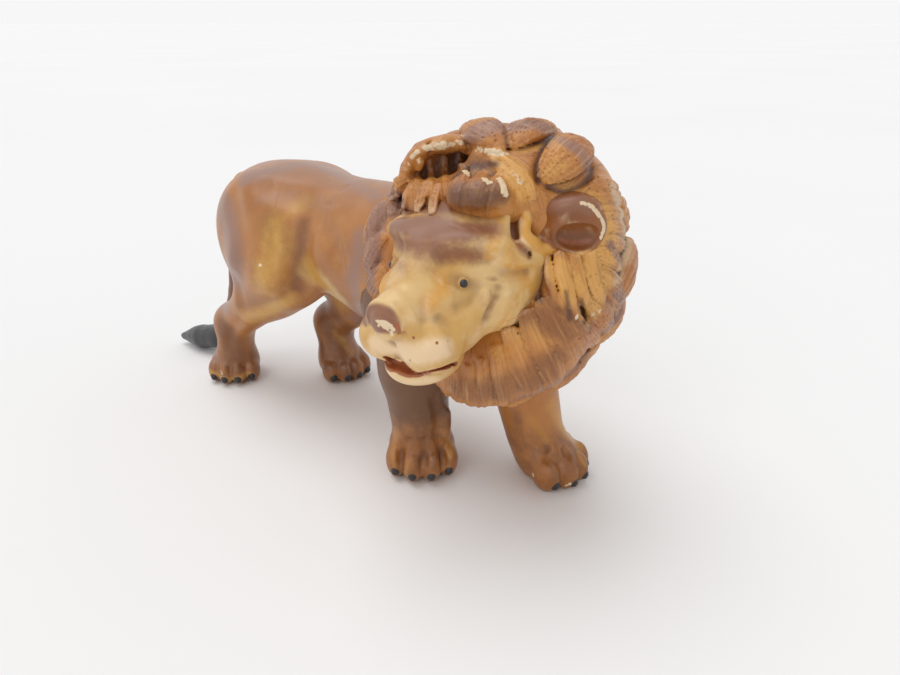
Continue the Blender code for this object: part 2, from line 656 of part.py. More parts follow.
def add_lock(shape: bmesh.types.BMesh, skin: BVHTree, ahead: tuple, around: tuple, share: float) -> None:
    """Lay a lock over the mane's lumps, from its root's ways to its tip's, fullest in the middle."""
    middle = head_point(LOCK_MIDDLE_SHARE, (MANE_THICKNESS, MANE_WIDTH, MANE_HEIGHT))
    places = []
    thicknesses = []
    for along, fullness in LOCK_FORM_SHARES:
        way = head_turn() @ lock_way(
            ahead[0] + (ahead[1] - ahead[0]) * along, around[0] + (around[1] - around[0]) * along
        )
        thickness = share * fullness * LOCK_THICKNESS
        touched = skin.ray_cast(middle + way * CUT_OVERRUN, -way)[0]
        places.append(touched - way * (thickness / 2 - LOCK_RELIEF * math.sqrt(share) * fullness))
        thicknesses.append(thickness)
    add_limb(shape, places, thicknesses)


def make_mane(hosts: list[Moulding]) -> Moulding:
    """The mane, a thick collar of locks around the neck and the back of the head."""
    sizes = (MANE_THICKNESS, MANE_WIDTH, MANE_HEIGHT)
    shape = bmesh.new()
    for place, size in zip(MANE_PLACE_SHARES, MANE_SIZE_SHARES):
        add_ball(shape, head_point(place, sizes), scaled(size, sizes), head_turn())
    skin = BVHTree.FromBMesh(shape)
    for root_ahead, root_round, tip_ahead, tip_round, share in FACE_LOCKS:
        add_lock(shape, skin, (root_ahead, tip_ahead), (root_round, tip_round), share)
    for ring, (ahead, count) in enumerate(LOCK_RINGS):
        for step in range(count):
            stray = RING_STRAY_SHARE * math.sin(ring * count + step * step)
            around = 360 * (step + ring % 2 / 2 + stray) / count
            middle = lock_way(ahead + LOCK_SWEEP / 2, around)
            if middle.dot(Vector(FACE_WAY)) < FACE_WAY_LIMIT:
                add_lock(shape, skin, (ahead, ahead + LOCK_SWEEP), (around, around), 1)
    crest = [head_point(place, sizes) for place in CREST_SHARES]
    add_limb(shape, crest, [CREST_THICKNESS] * len(crest))
    forelock = head_point(MANE_PLACE_SHARES[-1], sizes)
    for place in FORELOCK_TIP_SHARES:
        tip = head_point(place, sizes)
        add_taper(shape, (forelock, tip), (CREST_THICKNESS, FORELOCK_TIP_THICKNESS))
    mane = mould("mane", shape, FINE_CELL, MANE_PASSES, MANE_KEEP_SHARE)
    seat(mane, hosts)
    return mane


def paint(thing: bpy.types.Object, finish: tuple) -> None:
    """Give a moulding its own painted material."""
    colour, roughness = finish
    material = bpy.data.materials.new(thing.name + "_paint")
    material.use_nodes = True
    shader = material.node_tree.nodes["Principled BSDF"]
    shader.inputs["Base Color"].default_value = (*colour, 1)
    shader.inputs["Roughness"].default_value = roughness
    shader.inputs["Metallic"].default_value = 0
    thing.data.materials.clear()
    thing.data.materials.append(material)
    thing.data.shade_smooth()
    thing.data.set_sharp_from_angle(angle=math.radians(SHARP_ANGLE))


def stand_at_origin(things: list) -> None:
    """Move the whole figure sideways so that the middle of its box stands over the origin."""
    corners = [vert.co for thing in things for vert in thing.data.vertices]
    middle_x = (min(co.x for co in corners) + max(co.x for co in corners)) / 2
    middle_y = (min(co.y for co in corners) + max(co.y for co in corners)) / 2
    for thing in things:
        thing.location = (-middle_x, -middle_y, 0)


def main() -> None:
    """Clear the scene and build the figure, larger mouldings first."""
    for thing in list(bpy.data.objects):
        bpy.data.objects.remove(thing)
    torso = make_torso()
    right_hind = make_hind_leg("right_hind_leg", 0, torso)
    left_hind = make_hind_leg("left_hind_leg", 1, torso)
    right_fore = make_fore_leg("right_fore_leg", 0, torso)
    left_fore = make_fore_leg("left_fore_leg", 1, torso)
    tail = make_tail(torso, [right_hind, left_hind])
    head = make_head(torso, [right_fore, left_fore])
    jaw = make_jaw(head, [torso, right_fore, left_fore])
    mane = make_mane([torso, right_fore, left_fore, head, jaw])
    finishes = (
        (torso, TAWNY), (right_hind, TAWNY), (left_hind, TAWNY), (right_fore, DARK_TAWNY),
        (left_fore, DARK_TAWNY), (tail, SLATE), (head, CREAM), (jaw, PALE_CREAM), (mane, MANE_BROWN),
    )
    for piece, finish in finishes:
        paint(piece.body, finish)
    stand_at_origin([piece.body for piece, finish in finishes])
    for piece, finish in finishes:
        print(piece.body.name, len(piece.body.data.polygons), "faces")


main()
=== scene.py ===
"""Looks of the moulded toy lion: its sculpted skin, mane and face, hand painted and worn.

Every form is laid out in the sculptor's frame: millimetres, the lion's left along +X, its tail
along +Y, up along +Z, and the floor at zero. What the photograph shows is placed by its pixels,
through the camera that took it, and lands on the form that carries it.
"""
import json
import logging
import math
from dataclasses import dataclass, replace
from enum import Enum

import bpy
import numpy as np
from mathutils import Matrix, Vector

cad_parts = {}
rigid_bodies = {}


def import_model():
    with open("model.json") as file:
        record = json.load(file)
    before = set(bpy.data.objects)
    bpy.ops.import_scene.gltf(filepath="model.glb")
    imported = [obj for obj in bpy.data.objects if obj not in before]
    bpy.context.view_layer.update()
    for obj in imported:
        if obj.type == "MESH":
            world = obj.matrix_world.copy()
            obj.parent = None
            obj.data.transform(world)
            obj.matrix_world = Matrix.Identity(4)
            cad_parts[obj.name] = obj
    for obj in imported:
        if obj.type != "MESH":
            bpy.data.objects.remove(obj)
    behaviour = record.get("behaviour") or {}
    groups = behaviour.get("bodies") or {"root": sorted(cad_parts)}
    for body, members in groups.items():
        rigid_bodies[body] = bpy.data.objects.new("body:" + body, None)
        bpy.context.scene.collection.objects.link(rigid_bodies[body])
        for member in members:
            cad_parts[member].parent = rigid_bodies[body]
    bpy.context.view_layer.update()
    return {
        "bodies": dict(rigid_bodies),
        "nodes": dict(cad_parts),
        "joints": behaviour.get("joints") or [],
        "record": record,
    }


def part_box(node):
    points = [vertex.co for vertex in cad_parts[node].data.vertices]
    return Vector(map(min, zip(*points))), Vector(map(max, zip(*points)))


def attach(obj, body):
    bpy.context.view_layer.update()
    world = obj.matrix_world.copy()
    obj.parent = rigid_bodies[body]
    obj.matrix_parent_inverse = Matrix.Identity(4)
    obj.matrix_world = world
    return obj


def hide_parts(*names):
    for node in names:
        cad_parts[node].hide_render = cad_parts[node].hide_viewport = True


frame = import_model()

import openvdb
from mathutils import Euler, Vector

LOG = logging.getLogger("toy_lion")
MM = 0.001
FAR = np.float32(30.0)
SEED = 7
BODY = "root"
# The least divisor, and how many points a cord or a lock has along its line.
TINY = 1e-9
POINTS = 12
# Clay is worked in cubes of this many voxels, up to so many cubes and millimetres round a form.
CUBE = 6
CUBE_REACH = 1.3
MARGIN = 1.6
# Millimetres either way for finding which way clay faces.
NORMAL_STEP = 0.6
# The thinnest lock in pixels, then its thickness and its drop on to the form in millimetres.
LOCK_THIN = 1.2
LOCK_THICK = (0.5, 2.8)
LOCK_DROP = 1.5

Array = np.ndarray
Colour = tuple[float, float, float]
Rows = tuple[tuple[float, ...], ...]


class Paint(Enum):
    """The paints that a dab can lay down, each with a mask of its own."""

    TAWNY = "tawny"
    PALE = "pale"
    OCHRE = "ochre"
    UMBER = "umber"
    CREAM = "cream"
    BLACK = "black"
    RUST = "rust"
    SHADE = "shade"


def soft_union(first: Array, second: Array, blend: float) -> Array:
    """Join two distance fields with a rounded meeting.

    Args:
        first: distances of one form, in millimetres.
        second: distances of the other.
        blend: how far from the meeting the two are rounded into each other.

    Returns:
        The distances of the joined form.
    """
    if blend <= 0:
        return np.minimum(first, second)
    near = np.maximum(blend - np.abs(first - second), 0) / blend
    return np.minimum(first, second) - near * near * blend / 4


def unit(rows: Array) -> Array:
    """Give each row a length of one."""
    return rows / (np.linalg.norm(rows, axis=-1, keepdims=True) + TINY)


def smooth(amount: Array) -> Array:
    """Ease numbers from zero to one."""
    held = np.clip(amount, 0, 1)
    return held * held * (3 - 2 * held)


def curve(rows: Rows | Array, count: int) -> Array:
    """Draw a smooth curve through rows of numbers.

    Args:
        rows: what the curve goes through, one row each.
        count: how many rows to return.

    Returns:
        The curve's rows, evenly spread between those given.
    """
    given = np.array(rows, float)
    held = np.vstack([2 * given[0] - given[1], given, 2 * given[-1] - given[-2]])
    out = []
    for place in np.linspace(0, len(given) - 1, count):
        i = min(int(place), len(given) - 2)
        t = place - i
        a, b, c, d = held[i:i + 4]
        cubic = (d - a + 3 * (b - c)) * t ** 3
        out.append((2 * b + (c - a) * t + (2 * a - 5 * b + 4 * c - d) * t * t + cubic) / 2)
    return np.array(out)


@dataclass(frozen=True)
class Place:
    """A frame of its own for a part of the figure.

    Args:
        origin: the frame's origin, in the sculptor's frame.
        axes: its three axes, as the columns of a matrix.
    """

    origin: Array
    axes: Array

    def point(self, local: Array) -> Array:
        """Carry points from this frame to the sculptor's."""
        return np.asarray(local, float) @ self.axes.T + self.origin

    def local(self, points: Array) -> Array:
        """Carry points from the sculptor's frame to this one."""
        return (np.asarray(points) - self.origin) @ self.axes


WORLD = Place(np.zeros(3), np.eye(3))


class Shape:
    """A closed form that knows how far it reaches and how far any point is from it."""

    def reach(self) -> tuple[Array, Array]:
        """Return the lowest and the highest corner of the form."""
        raise NotImplementedError

    def distance(self, points: Array) -> Array:
        """Return each point's distance from the form, less than zero inside."""
        raise NotImplementedError


class Ball(Shape):
    """An ellipsoid of clay."""

    def __init__(self, centre: tuple, radii: tuple, degrees: tuple = (0, 0, 0),
                 place: Place = WORLD) -> None:
        """Set an ellipsoid.

        Args:
            centre: its centre, in the frame that it is placed in.
            radii: its half sizes.
            degrees: its turns about the frame's axes.
            place: the frame.
        """
        self.centre = place.point(centre).astype(np.float32)
        self.radii = np.array(radii, np.float32)
        turn = np.array(Euler([math.radians(angle) for angle in degrees]).to_matrix())
        self.axes = (place.axes @ turn).astype(np.float32)

    def reach(self) -> tuple[Array, Array]:
        """Return the lowest and the highest corner of the form."""
        half = np.sqrt(((self.axes * self.radii) ** 2).sum(1))
        return self.centre - half, self.centre + half

    def distance(self, points: Array) -> Array:
        """Measure how far points are from the form.

        Args:
            points: places in the sculptor's frame.

        Returns:
            Each point's distance, less than zero inside.
        """
        local = (points.astype(np.float32) - self.centre) @ self.axes
        near = np.sqrt(((local / self.radii) ** 2).sum(-1))
        slope = np.sqrt(((local / self.radii ** 2) ** 2).sum(-1)) + TINY
        return near * (near - 1) / slope


class Limb(Shape):
    """A chain of round cones of clay."""

    def __init__(self, rows: Rows | Array, place: Place = WORLD, blend: float = 0.0) -> None:
        """Set a chain.

        Args:
            rows: the chain's points, each with its radius.
            place: the frame that they are in.
            blend: how far one cone rounds into the next.
        """
        given = np.array(rows, float)
        self.points = place.point(given[:, :3]).astype(np.float32)
        self.radii = given[:, 3].astype(np.float32)
        self.blend = blend

    def reach(self) -> tuple[Array, Array]:
        """Return the lowest and the highest corner of the form."""
        radii = self.radii[:, None]
        return (self.points - radii).min(0), (self.points + radii).max(0)

    def distance(self, points: Array) -> Array:
        """Measure how far points are from the form.

        Args:
            points: places in the sculptor's frame.

        Returns:
            Each point's distance, less than zero inside.
        """
        total = None
        here = points.astype(np.float32)
        for i in range(len(self.points) - 1):
            start, along = self.points[i], self.points[i + 1] - self.points[i]
            t = np.clip(((here - start) @ along) / max(float(along @ along), TINY), 0, 1)
            radius = self.radii[i] + (self.radii[i + 1] - self.radii[i]) * t
            away = np.sqrt(((here - start - t[..., None] * along) ** 2).sum(-1)) - radius
            total = away if total is None else soft_union(total, away, self.blend)
        return total


class Lock(Shape):
    """A lock of hair: a flattened sweep along a curve, scored by strands."""

    wave: float = 0.12
    wave_rate: float = 0.9
    wave_turn: float = 9
    sharpness: int = 4

    def __init__(self, path: Array, outward: Array, sizes: Array, strands: float, score: float,
                 phase: float = 0.0) -> None:
        """Set a lock.

        Args:
            path: the points of its middle line, from root to tip.
            outward: the way that its face looks at each point.
            sizes: its half width and half thickness at each point.
            strands: how many strands lie side by side.
            score: how deep the lines between them are.
            phase: where across the lock the first line lies.
        """
        self.path = path.astype(np.float32)
        self.along = unit(np.gradient(path, axis=0))
        self.outward = unit(outward - (outward * self.along).sum(1, keepdims=True) * self.along)
        self.across = np.cross(self.along, self.outward)
        self.sizes = sizes.astype(np.float32)
        self.strands, self.score, self.phase = strands, score, phase
        steps = np.linalg.norm(np.diff(path, axis=0), axis=1)
        self.run = np.concatenate([[0], np.cumsum(steps)])

    def reach(self) -> tuple[Array, Array]:
        """Return the lowest and the highest corner of the form."""
        wide = self.sizes.max(1, keepdims=True)
        return (self.path - wide).min(0), (self.path + wide).max(0)

    def trace(self, points: Array) -> tuple[Array, Array, Array]:
        """Find where points lie on the lock.

        Args:
            points: places in the sculptor's frame.

        Returns:
            Each point's distance from the unscored lock, its place across it from -1 to 1, and how
            far along it lies, in millimetres from the root.
        """
        here = points.astype(np.float32)
        best = np.full(here.shape[:-1], 1e9, np.float32)
        side = np.zeros_like(best)
        run = np.zeros_like(best)
        for i in range(len(self.path) - 1):
            start, along = self.path[i], self.path[i + 1] - self.path[i]
            t = np.clip(((here - start) @ along) / max(float(along @ along), TINY), 0, 1)
            away = here - start - t[..., None] * along
            axes = [(rows[i] + rows[i + 1]).astype(np.float32) / 2
                    for rows in (self.across, self.outward, self.along)]
            wide = self.sizes[i, 0] + (self.sizes[i + 1, 0] - self.sizes[i, 0]) * t
            thick = self.sizes[i, 1] + (self.sizes[i + 1, 1] - self.sizes[i, 1]) * t
            parts = [away @ axis for axis in axes]
            spans = (wide, thick, thick)
            near = np.sqrt(sum((part / span) ** 2 for part, span in zip(parts, spans)))
            slope = np.sqrt(sum((part / span ** 2) ** 2 for part, span in zip(parts, spans))) + TINY
            gap = near * (near - 1) / slope
            take = gap < best
            best = np.where(take, gap, best)
            side = np.where(take, parts[0] / wide, side)
            run = np.where(take, self.run[i] + t * (self.run[i + 1] - self.run[i]), run)
        return best, side, run

    def distance(self, points: Array) -> Array:
        """Measure how far points are from the form.

        Args:
            points: places in the sculptor's frame.

        Returns:
            Each point's distance, less than zero inside.
        """
        away, side, run = self.trace(points)
        bend = self.wave * np.sin(run * self.wave_rate + self.phase * self.wave_turn)
        turns = side * self.strands / 2 + self.phase + bend
        line = (0.5 + 0.5 * np.cos(math.tau * turns)) ** self.sharpness
        return (away + self.score * line).astype(np.float32)


@dataclass(frozen=True)
class Step:
    """One pass of the sculptor's hands.

    Args:
        shape: what is pressed on or carved away.
        blend: how far it rounds into what is there.
        cut: whether it is carved away.
    """

    shape: Shape
    blend: float = 0.0
    cut: bool = False


class Clay:
    """A block of voxels that holds the distance from a form, ready to be skinned."""

    def __init__(self, steps: list[Step], cell: float, like: "Clay | None" = None) -> None:
        """Press a form into a new block.

        Args:
            steps: the form's steps, in order.
            cell: the width of a voxel, in millimetres.
            like: a block whose lattice the new one shares.
        """
        self.cell = cell
        if like is None:
            ends = [step.shape.reach() for step in steps if not step.cut]
            self.low = np.min([low for low, high in ends], 0) - 4 * cell
            high = np.max([high for low, high in ends], 0) + 4 * cell
            self.low[2] = max(self.low[2], -cell * 3.37)
            self.size = np.ceil((high - self.low) / cell).astype(int) + 1
        else:
            self.low, self.size = like.low, like.size
        self.field = np.full(tuple(self.size), FAR, np.float32)
        self.blurred: dict[float, Array] = {}
        for step in steps:
            self.press(step)

    def press(self, step: Step) -> None:
        """Work one step into the block, in the small cubes of voxels that it comes near.

        Args:
            step: what is pressed on or carved away.
        """
        side = CUBE
        pad = step.blend + max(MARGIN, 3 * self.cell)
        low, high = step.shape.reach()
        first = np.maximum(np.floor((low - pad - self.low) / self.cell).astype(int), 0)
        last = np.minimum(np.ceil((high + pad - self.low) / self.cell).astype(int) + 1, self.size)
        if (last <= first).any():
            return
        spans = [np.arange(start, end, side) for start, end in zip(first, last)]
        corners = np.stack(np.meshgrid(*spans, indexing="ij"), -1).reshape(-1, 3)
        middles = self.low + (corners + (side - 1) / 2) * self.cell
        near = step.shape.distance(middles) < pad + CUBE_REACH * side * self.cell
        inner = np.stack(np.meshgrid(*[np.arange(side)] * 3, indexing="ij"), -1).reshape(-1, 3)
        voxels = (corners[near][:, None, :] + inner).reshape(-1, 3)
        voxels = voxels[(voxels < last).all(1)]
        away = step.shape.distance(self.low + voxels * self.cell)
        spot = tuple(voxels.T)
        if step.cut:
            self.field[spot] = -soft_union(-self.field[spot], away, step.blend)
        else:
            self.field[spot] = soft_union(self.field[spot], away, step.blend)

    def sample(self, field: Array, points: Array) -> Array:
        """Read numbers between voxels.

        Args:
            field: a block of numbers on this lattice.
            points: places in the sculptor's frame.

        Returns:
            The number at each point.
        """
        where = np.clip((points - self.low) / self.cell, 0, self.size - 1.001)
        base = where.astype(int)
        part = where - base
        total = np.zeros(len(points))
        for corner in np.ndindex(2, 2, 2):
            weight = np.prod(np.where(corner, part, 1 - part), axis=1)
            total += weight * field[tuple((base + corner).T)]
        return total

    def at(self, points: Array) -> Array:
        """Return each point's distance from the form, or a long way where it isn't near."""
        outside = ((points < self.low) | (points > self.low + (self.size - 1) * self.cell)).any(1)
        return np.where(outside, FAR, self.sample(self.field, points))

    def normals(self, points: Array) -> Array:
        """Return which way the form faces at points near its surface."""
        moves = np.eye(3) * NORMAL_STEP
        return unit(np.stack([self.at(points + move) - self.at(points - move) for move in moves], -1))

    def stand(self, height: float) -> None:
        """Cut the form flat at a height over the floor."""
        heights = self.low[2] + np.arange(self.size[2]) * self.cell
        self.field = np.maximum(self.field, (height - heights).astype(np.float32))

    def skin(self) -> tuple[Array, Array]:
        """Draw the form's surface.

        Returns:
            The points of its largest piece, in the sculptor's frame, and its four-sided faces.
        """
        grid = openvdb.FloatGrid(float(FAR))
        grid.copyFromArray(self.field)
        points, quads = grid.convertToQuads(0.0)
        return largest_piece(points * self.cell + self.low, quads[:, ::-1].astype(np.int64))

    def relief(self, points: Array, radius: float) -> Array:
        """Tell ridges from hollows.

        Args:
            points: places on the surface.
            radius: the size of the ridges and hollows that count, in millimetres.

        Returns:
            A number for each point, over zero on a ridge and under zero in a hollow.
        """
        if radius not in self.blurred:
            reach = max(int(round(radius / self.cell)), 1)
            field = np.clip(self.field, -radius, radius)
            for axis in (0, 1, 2, 0, 1, 2):
                field = box_blur(field, reach, axis)
            self.blurred[radius] = field
        return self.sample(self.blurred[radius], points) / radius


def box_blur(field: Array, reach: int, axis: int) -> Array:
    """Average a block along one axis.

    Args:
        field: the block.
        reach: how many voxels either way are averaged.
        axis: the axis.

    Returns:
        The averaged block.
    """
    wide = np.pad(field, [(reach, reach) if k == axis else (0, 0) for k in range(3)], mode="edge")
    wide = np.moveaxis(wide, axis, 0)
    count = field.shape[axis]
    total = sum(wide[i:i + count] for i in range(2 * reach + 1)) / np.float32(2 * reach + 1)
    return np.moveaxis(total, 0, axis)


def largest_piece(points: Array, quads: Array) -> tuple[Array, Array]:
    """Keep the largest connected piece of a surface.

    Args:
        points: its points.
        quads: its faces.

    Returns:
        The points and faces of that piece alone.
    """
    label = np.arange(len(points))
    while True:
        lowest = label[quads].min(1)
        grown = label.copy()
        np.minimum.at(grown, quads.ravel(), np.repeat(lowest, 4))
        grown = grown[grown]
        if (grown == label).all():
            break
        label = grown
    names, counts = np.unique(label, return_counts=True)
    keep = label == names[counts.argmax()]
    renumber = np.cumsum(keep) - 1
    return points[keep], renumber[quads[keep[quads[:, 0]]]]


@dataclass(frozen=True)
class PhotoView:
    """The camera that took the photograph, in the sculptor's frame.

    Args:
        eye: where it stands.
        heading: the turn of its view from +Y towards +X, in degrees.
        dip: how far it looks down, in degrees.
        focal: its focal length, in pixels.
        middle: the pixel in the middle of the photograph.
        sensor: the width of its film, in millimetres.
        marches: how many strides a ray may take.
        stride: how much of the distance to the form a stride covers.
        strides: the shortest and the longest stride, in millimetres.
        touch: how near a form a ray has landed, in millimetres.
    """

    eye: tuple[float, float, float] = (-98.82, -113.79, 87.5)
    heading: float = 47.4
    dip: float = 23.6
    focal: float = 725.0
    middle: tuple[float, float] = (450.0, 337.5)
    sensor: float = 36.0
    marches: int = 260
    stride: float = 0.85
    strides: tuple[float, float] = (0.02, 1.4)
    touch: float = 0.03

    def axes(self) -> tuple[Array, Array, Array]:
        """Work out how the camera is turned.

        Returns:
            The ways that are right, up and forward for it.
        """
        turn, dip = math.radians(self.heading), math.radians(self.dip)
        forward = np.array([math.sin(turn) * math.cos(dip), math.cos(turn) * math.cos(dip), -math.sin(dip)])
        right = np.array([math.cos(turn), -math.sin(turn), 0.0])
        return right, np.cross(right, forward), forward

    def rays(self, pixels: Array) -> Array:
        """Work out the way to each pixel.

        Args:
            pixels: places in the photograph.

        Returns:
            The ways, of length one.
        """
        right, up, forward = self.axes()
        u = (pixels[:, :1] - self.middle[0]) / self.focal
        v = (pixels[:, 1:2] - self.middle[1]) / self.focal
        return unit(forward + u * right - v * up)

    def scale(self, points: Array) -> Array:
        """Return how many millimetres a pixel spans at each point."""
        return ((points - np.array(self.eye)) @ self.axes()[2]) / self.focal

    def land(self, clay: Clay, pixels: Array) -> Array:
        """Carry pixels to a form.

        Args:
            clay: the form.
            pixels: places in the photograph.

        Returns:
            Where each pixel's ray meets the form, or comes nearest to it.
        """
        eye = np.array(self.eye)
        ways = self.rays(pixels)
        ends = clay.low + np.array(list(np.ndindex(2, 2, 2))) * clay.size * clay.cell
        depths = (ends - eye) @ self.axes()[2]
        travel = np.full(len(pixels), max(depths.min() * 0.9, 20.0))
        best = np.full(len(pixels), np.inf)
        place = eye + ways * travel[:, None]
        for _ in range(self.marches):
            here = eye + ways * travel[:, None]
            away = clay.at(here)
            closer = (away < best) & (best > self.touch)
            best = np.where(closer, away, best)
            place = np.where(closer[:, None], here, place)
            travel = travel + np.clip(away * self.stride, *self.strides)
            if (best <= self.touch).all() or travel.min() > depths.max() * 1.3:
                break
        return place

    def across(self, pixels: Rows, place: Place, axis: int) -> Array:
        """Carry pixels to given depths.

        Args:
            pixels: rows of a pixel and its coordinate along the axis.
            place: the frame that has the axis.
            axis: which of its axes.

        Returns:
            The point on each pixel's ray that has that coordinate.
        """
        rows = np.array(pixels, float)
        start = place.local(np.array(self.eye))
        ways = self.rays(rows) @ place.axes
        travel = (rows[:, 2] - start[axis]) / ways[:, axis]
        return place.point(start + ways * travel[:, None])

    def stand(self, shift: Array) -> None:
        """Set up the camera.

        Args:
            shift: from the sculptor's frame to the part's, in millimetres.
        """
        camera = bpy.data.cameras.new("photo_camera")
        camera.sensor_width = self.sensor
        camera.lens = self.focal / (2 * self.middle[0]) * self.sensor
        camera.clip_start = 0.01
        holder = bpy.data.objects.new("photo_camera", camera)
        holder.location = Vector((np.array(self.eye) + shift) * MM)
        holder.rotation_euler = Vector(self.axes()[2]).to_track_quat("-Z", "Y").to_euler()
        bpy.context.scene.collection.objects.link(holder)
        bpy.context.scene.camera = holder


VIEW = PhotoView()


def bead(form: Clay, rows: Rows, height: float, count: int = POINTS) -> Limb:
    """Lay a cord on a form along pixels, or sink it in.

    Args:
        form: what it lies on.
        rows: pixels, each with the cord's half width in pixels.
        height: how far the cord stands out of the form, in millimetres.
        count: how many points the cord has.

    Returns:
        The cord.
    """
    line = curve(rows, count)
    points = VIEW.land(form, line)
    radii = line[:, 2] * VIEW.scale(points)
    sunk = points + form.normals(points) * (height - radii)[:, None]
    return Limb(np.column_stack([sunk, radii]))


def crease(form: Clay, rows: Rows, depth: float, blend: float) -> Step:
    """Carve a line into a form along pixels.

    Args:
        form: what it is carved into.
        rows: pixels, each with the line's half width in pixels.
        depth: how deep the line is, in millimetres.
        blend: how far its edges are rounded.

    Returns:
        The step that carves it.
    """
    line = curve(rows, POINTS)
    points = VIEW.land(form, line)
    radii = line[:, 2] * VIEW.scale(points)
    raised = points + form.normals(points) * (radii - depth)[:, None]
    return Step(Limb(np.column_stack([raised, radii])), blend, cut=True)


def lock(form: Clay, rows: Rows, lift: float, strands: float, score: float, phase: float,
         flat: float = 0.5) -> Lock:
    """Lay a lock of hair on a form along pixels.

    Args:
        form: what it lies on.
        rows: pixels from root to tip, each with the lock's half width in pixels.
        lift: how far its middle line lies over the form, as a share of its thickness.
        strands: how many strands lie side by side.
        score: how deep the lines between them are, in millimetres.
        phase: where the first line lies.
        flat: its thickness as a share of its width.

    Returns:
        The lock.
    """
    line = curve(rows, POINTS)
    line[:, 2] = np.maximum(line[:, 2], LOCK_THIN)
    points = VIEW.land(form, line)
    for _ in range(3):
        points = points - form.normals(points) * np.clip(form.at(points), 0, LOCK_DROP)[:, None]
    wide = line[:, 2] * VIEW.scale(points)
    thick = np.clip(wide * flat, *LOCK_THICK)
    outward = form.normals(points)
    path = points + outward * (thick * lift)[:, None]
    return Lock(path, outward, np.column_stack([wide, thick]), strands, score, phase)


@dataclass(frozen=True)
class Dab:
    """A stroke of paint, landed on the form by its pixels.

    Args:
        paint: the paint.
        rows: pixels, each with the stroke's half width in pixels.
        soft: the width of its faded edge, as a share of its half width.
        strength: how much it covers.
    """

    paint: Paint
    rows: Rows
    soft: float = 0.6
    strength: float = 1.0


def brush(points: Array, line: Array, soft: float) -> Array:
    """Work out where a stroke covers a surface.

    Args:
        points: the surface's points.
        line: the stroke's points, each with its radius.
        soft: the width of the faded edge, as a share of the radius.

    Returns:
        How much the stroke covers each point, from 0 to 1.
    """
    cover = np.zeros(len(points), np.float32)
    reach = line[:, 3].max() * (1 + soft)
    low, high = line[:, :3].min(0) - reach, line[:, :3].max(0) + reach
    near = np.flatnonzero(((points > low) & (points < high)).all(1))
    if len(near):
        rows = line if len(line) > 1 else np.vstack([line, line + 0.01])
        chain = Limb(rows)
        away = chain.distance(points[near])
        radius = float(line[:, 3].mean())
        cover[near] = smooth(0.5 - away / (radius * soft))
    return cover


def land_dabs(form: Clay, dabs: tuple[Dab, ...], mirror: Place | None = None, axis: int = 0,
              fade: float = 1.0) -> list[tuple[Dab, Array]]:
    """Land strokes of paint on a form.

    Args:
        form: what the strokes land on.
        dabs: the strokes.
        mirror: the frame across whose middle plane they are repeated.
        axis: the axis that the plane lies across.
        fade: how strong the repeated strokes are, as a share.

    Returns:
        Each stroke with its points in the sculptor's frame and their radii.
    """
    landed = []
    for one in dabs:
        line = curve(one.rows, 4 * len(one.rows) - 3) if len(one.rows) > 1 else np.array(one.rows, float)
        places = VIEW.land(form, line)
        radii = (line[:, 2] * VIEW.scale(places))[:, None]
        landed.append((one, np.hstack([places, radii])))
        if mirror is not None:
            local = mirror.local(places)
            local[:, axis] *= -1
            weaker = replace(one, strength=one.strength * fade)
            landed.append((weaker, np.hstack([mirror.point(local), radii])))
    return landed


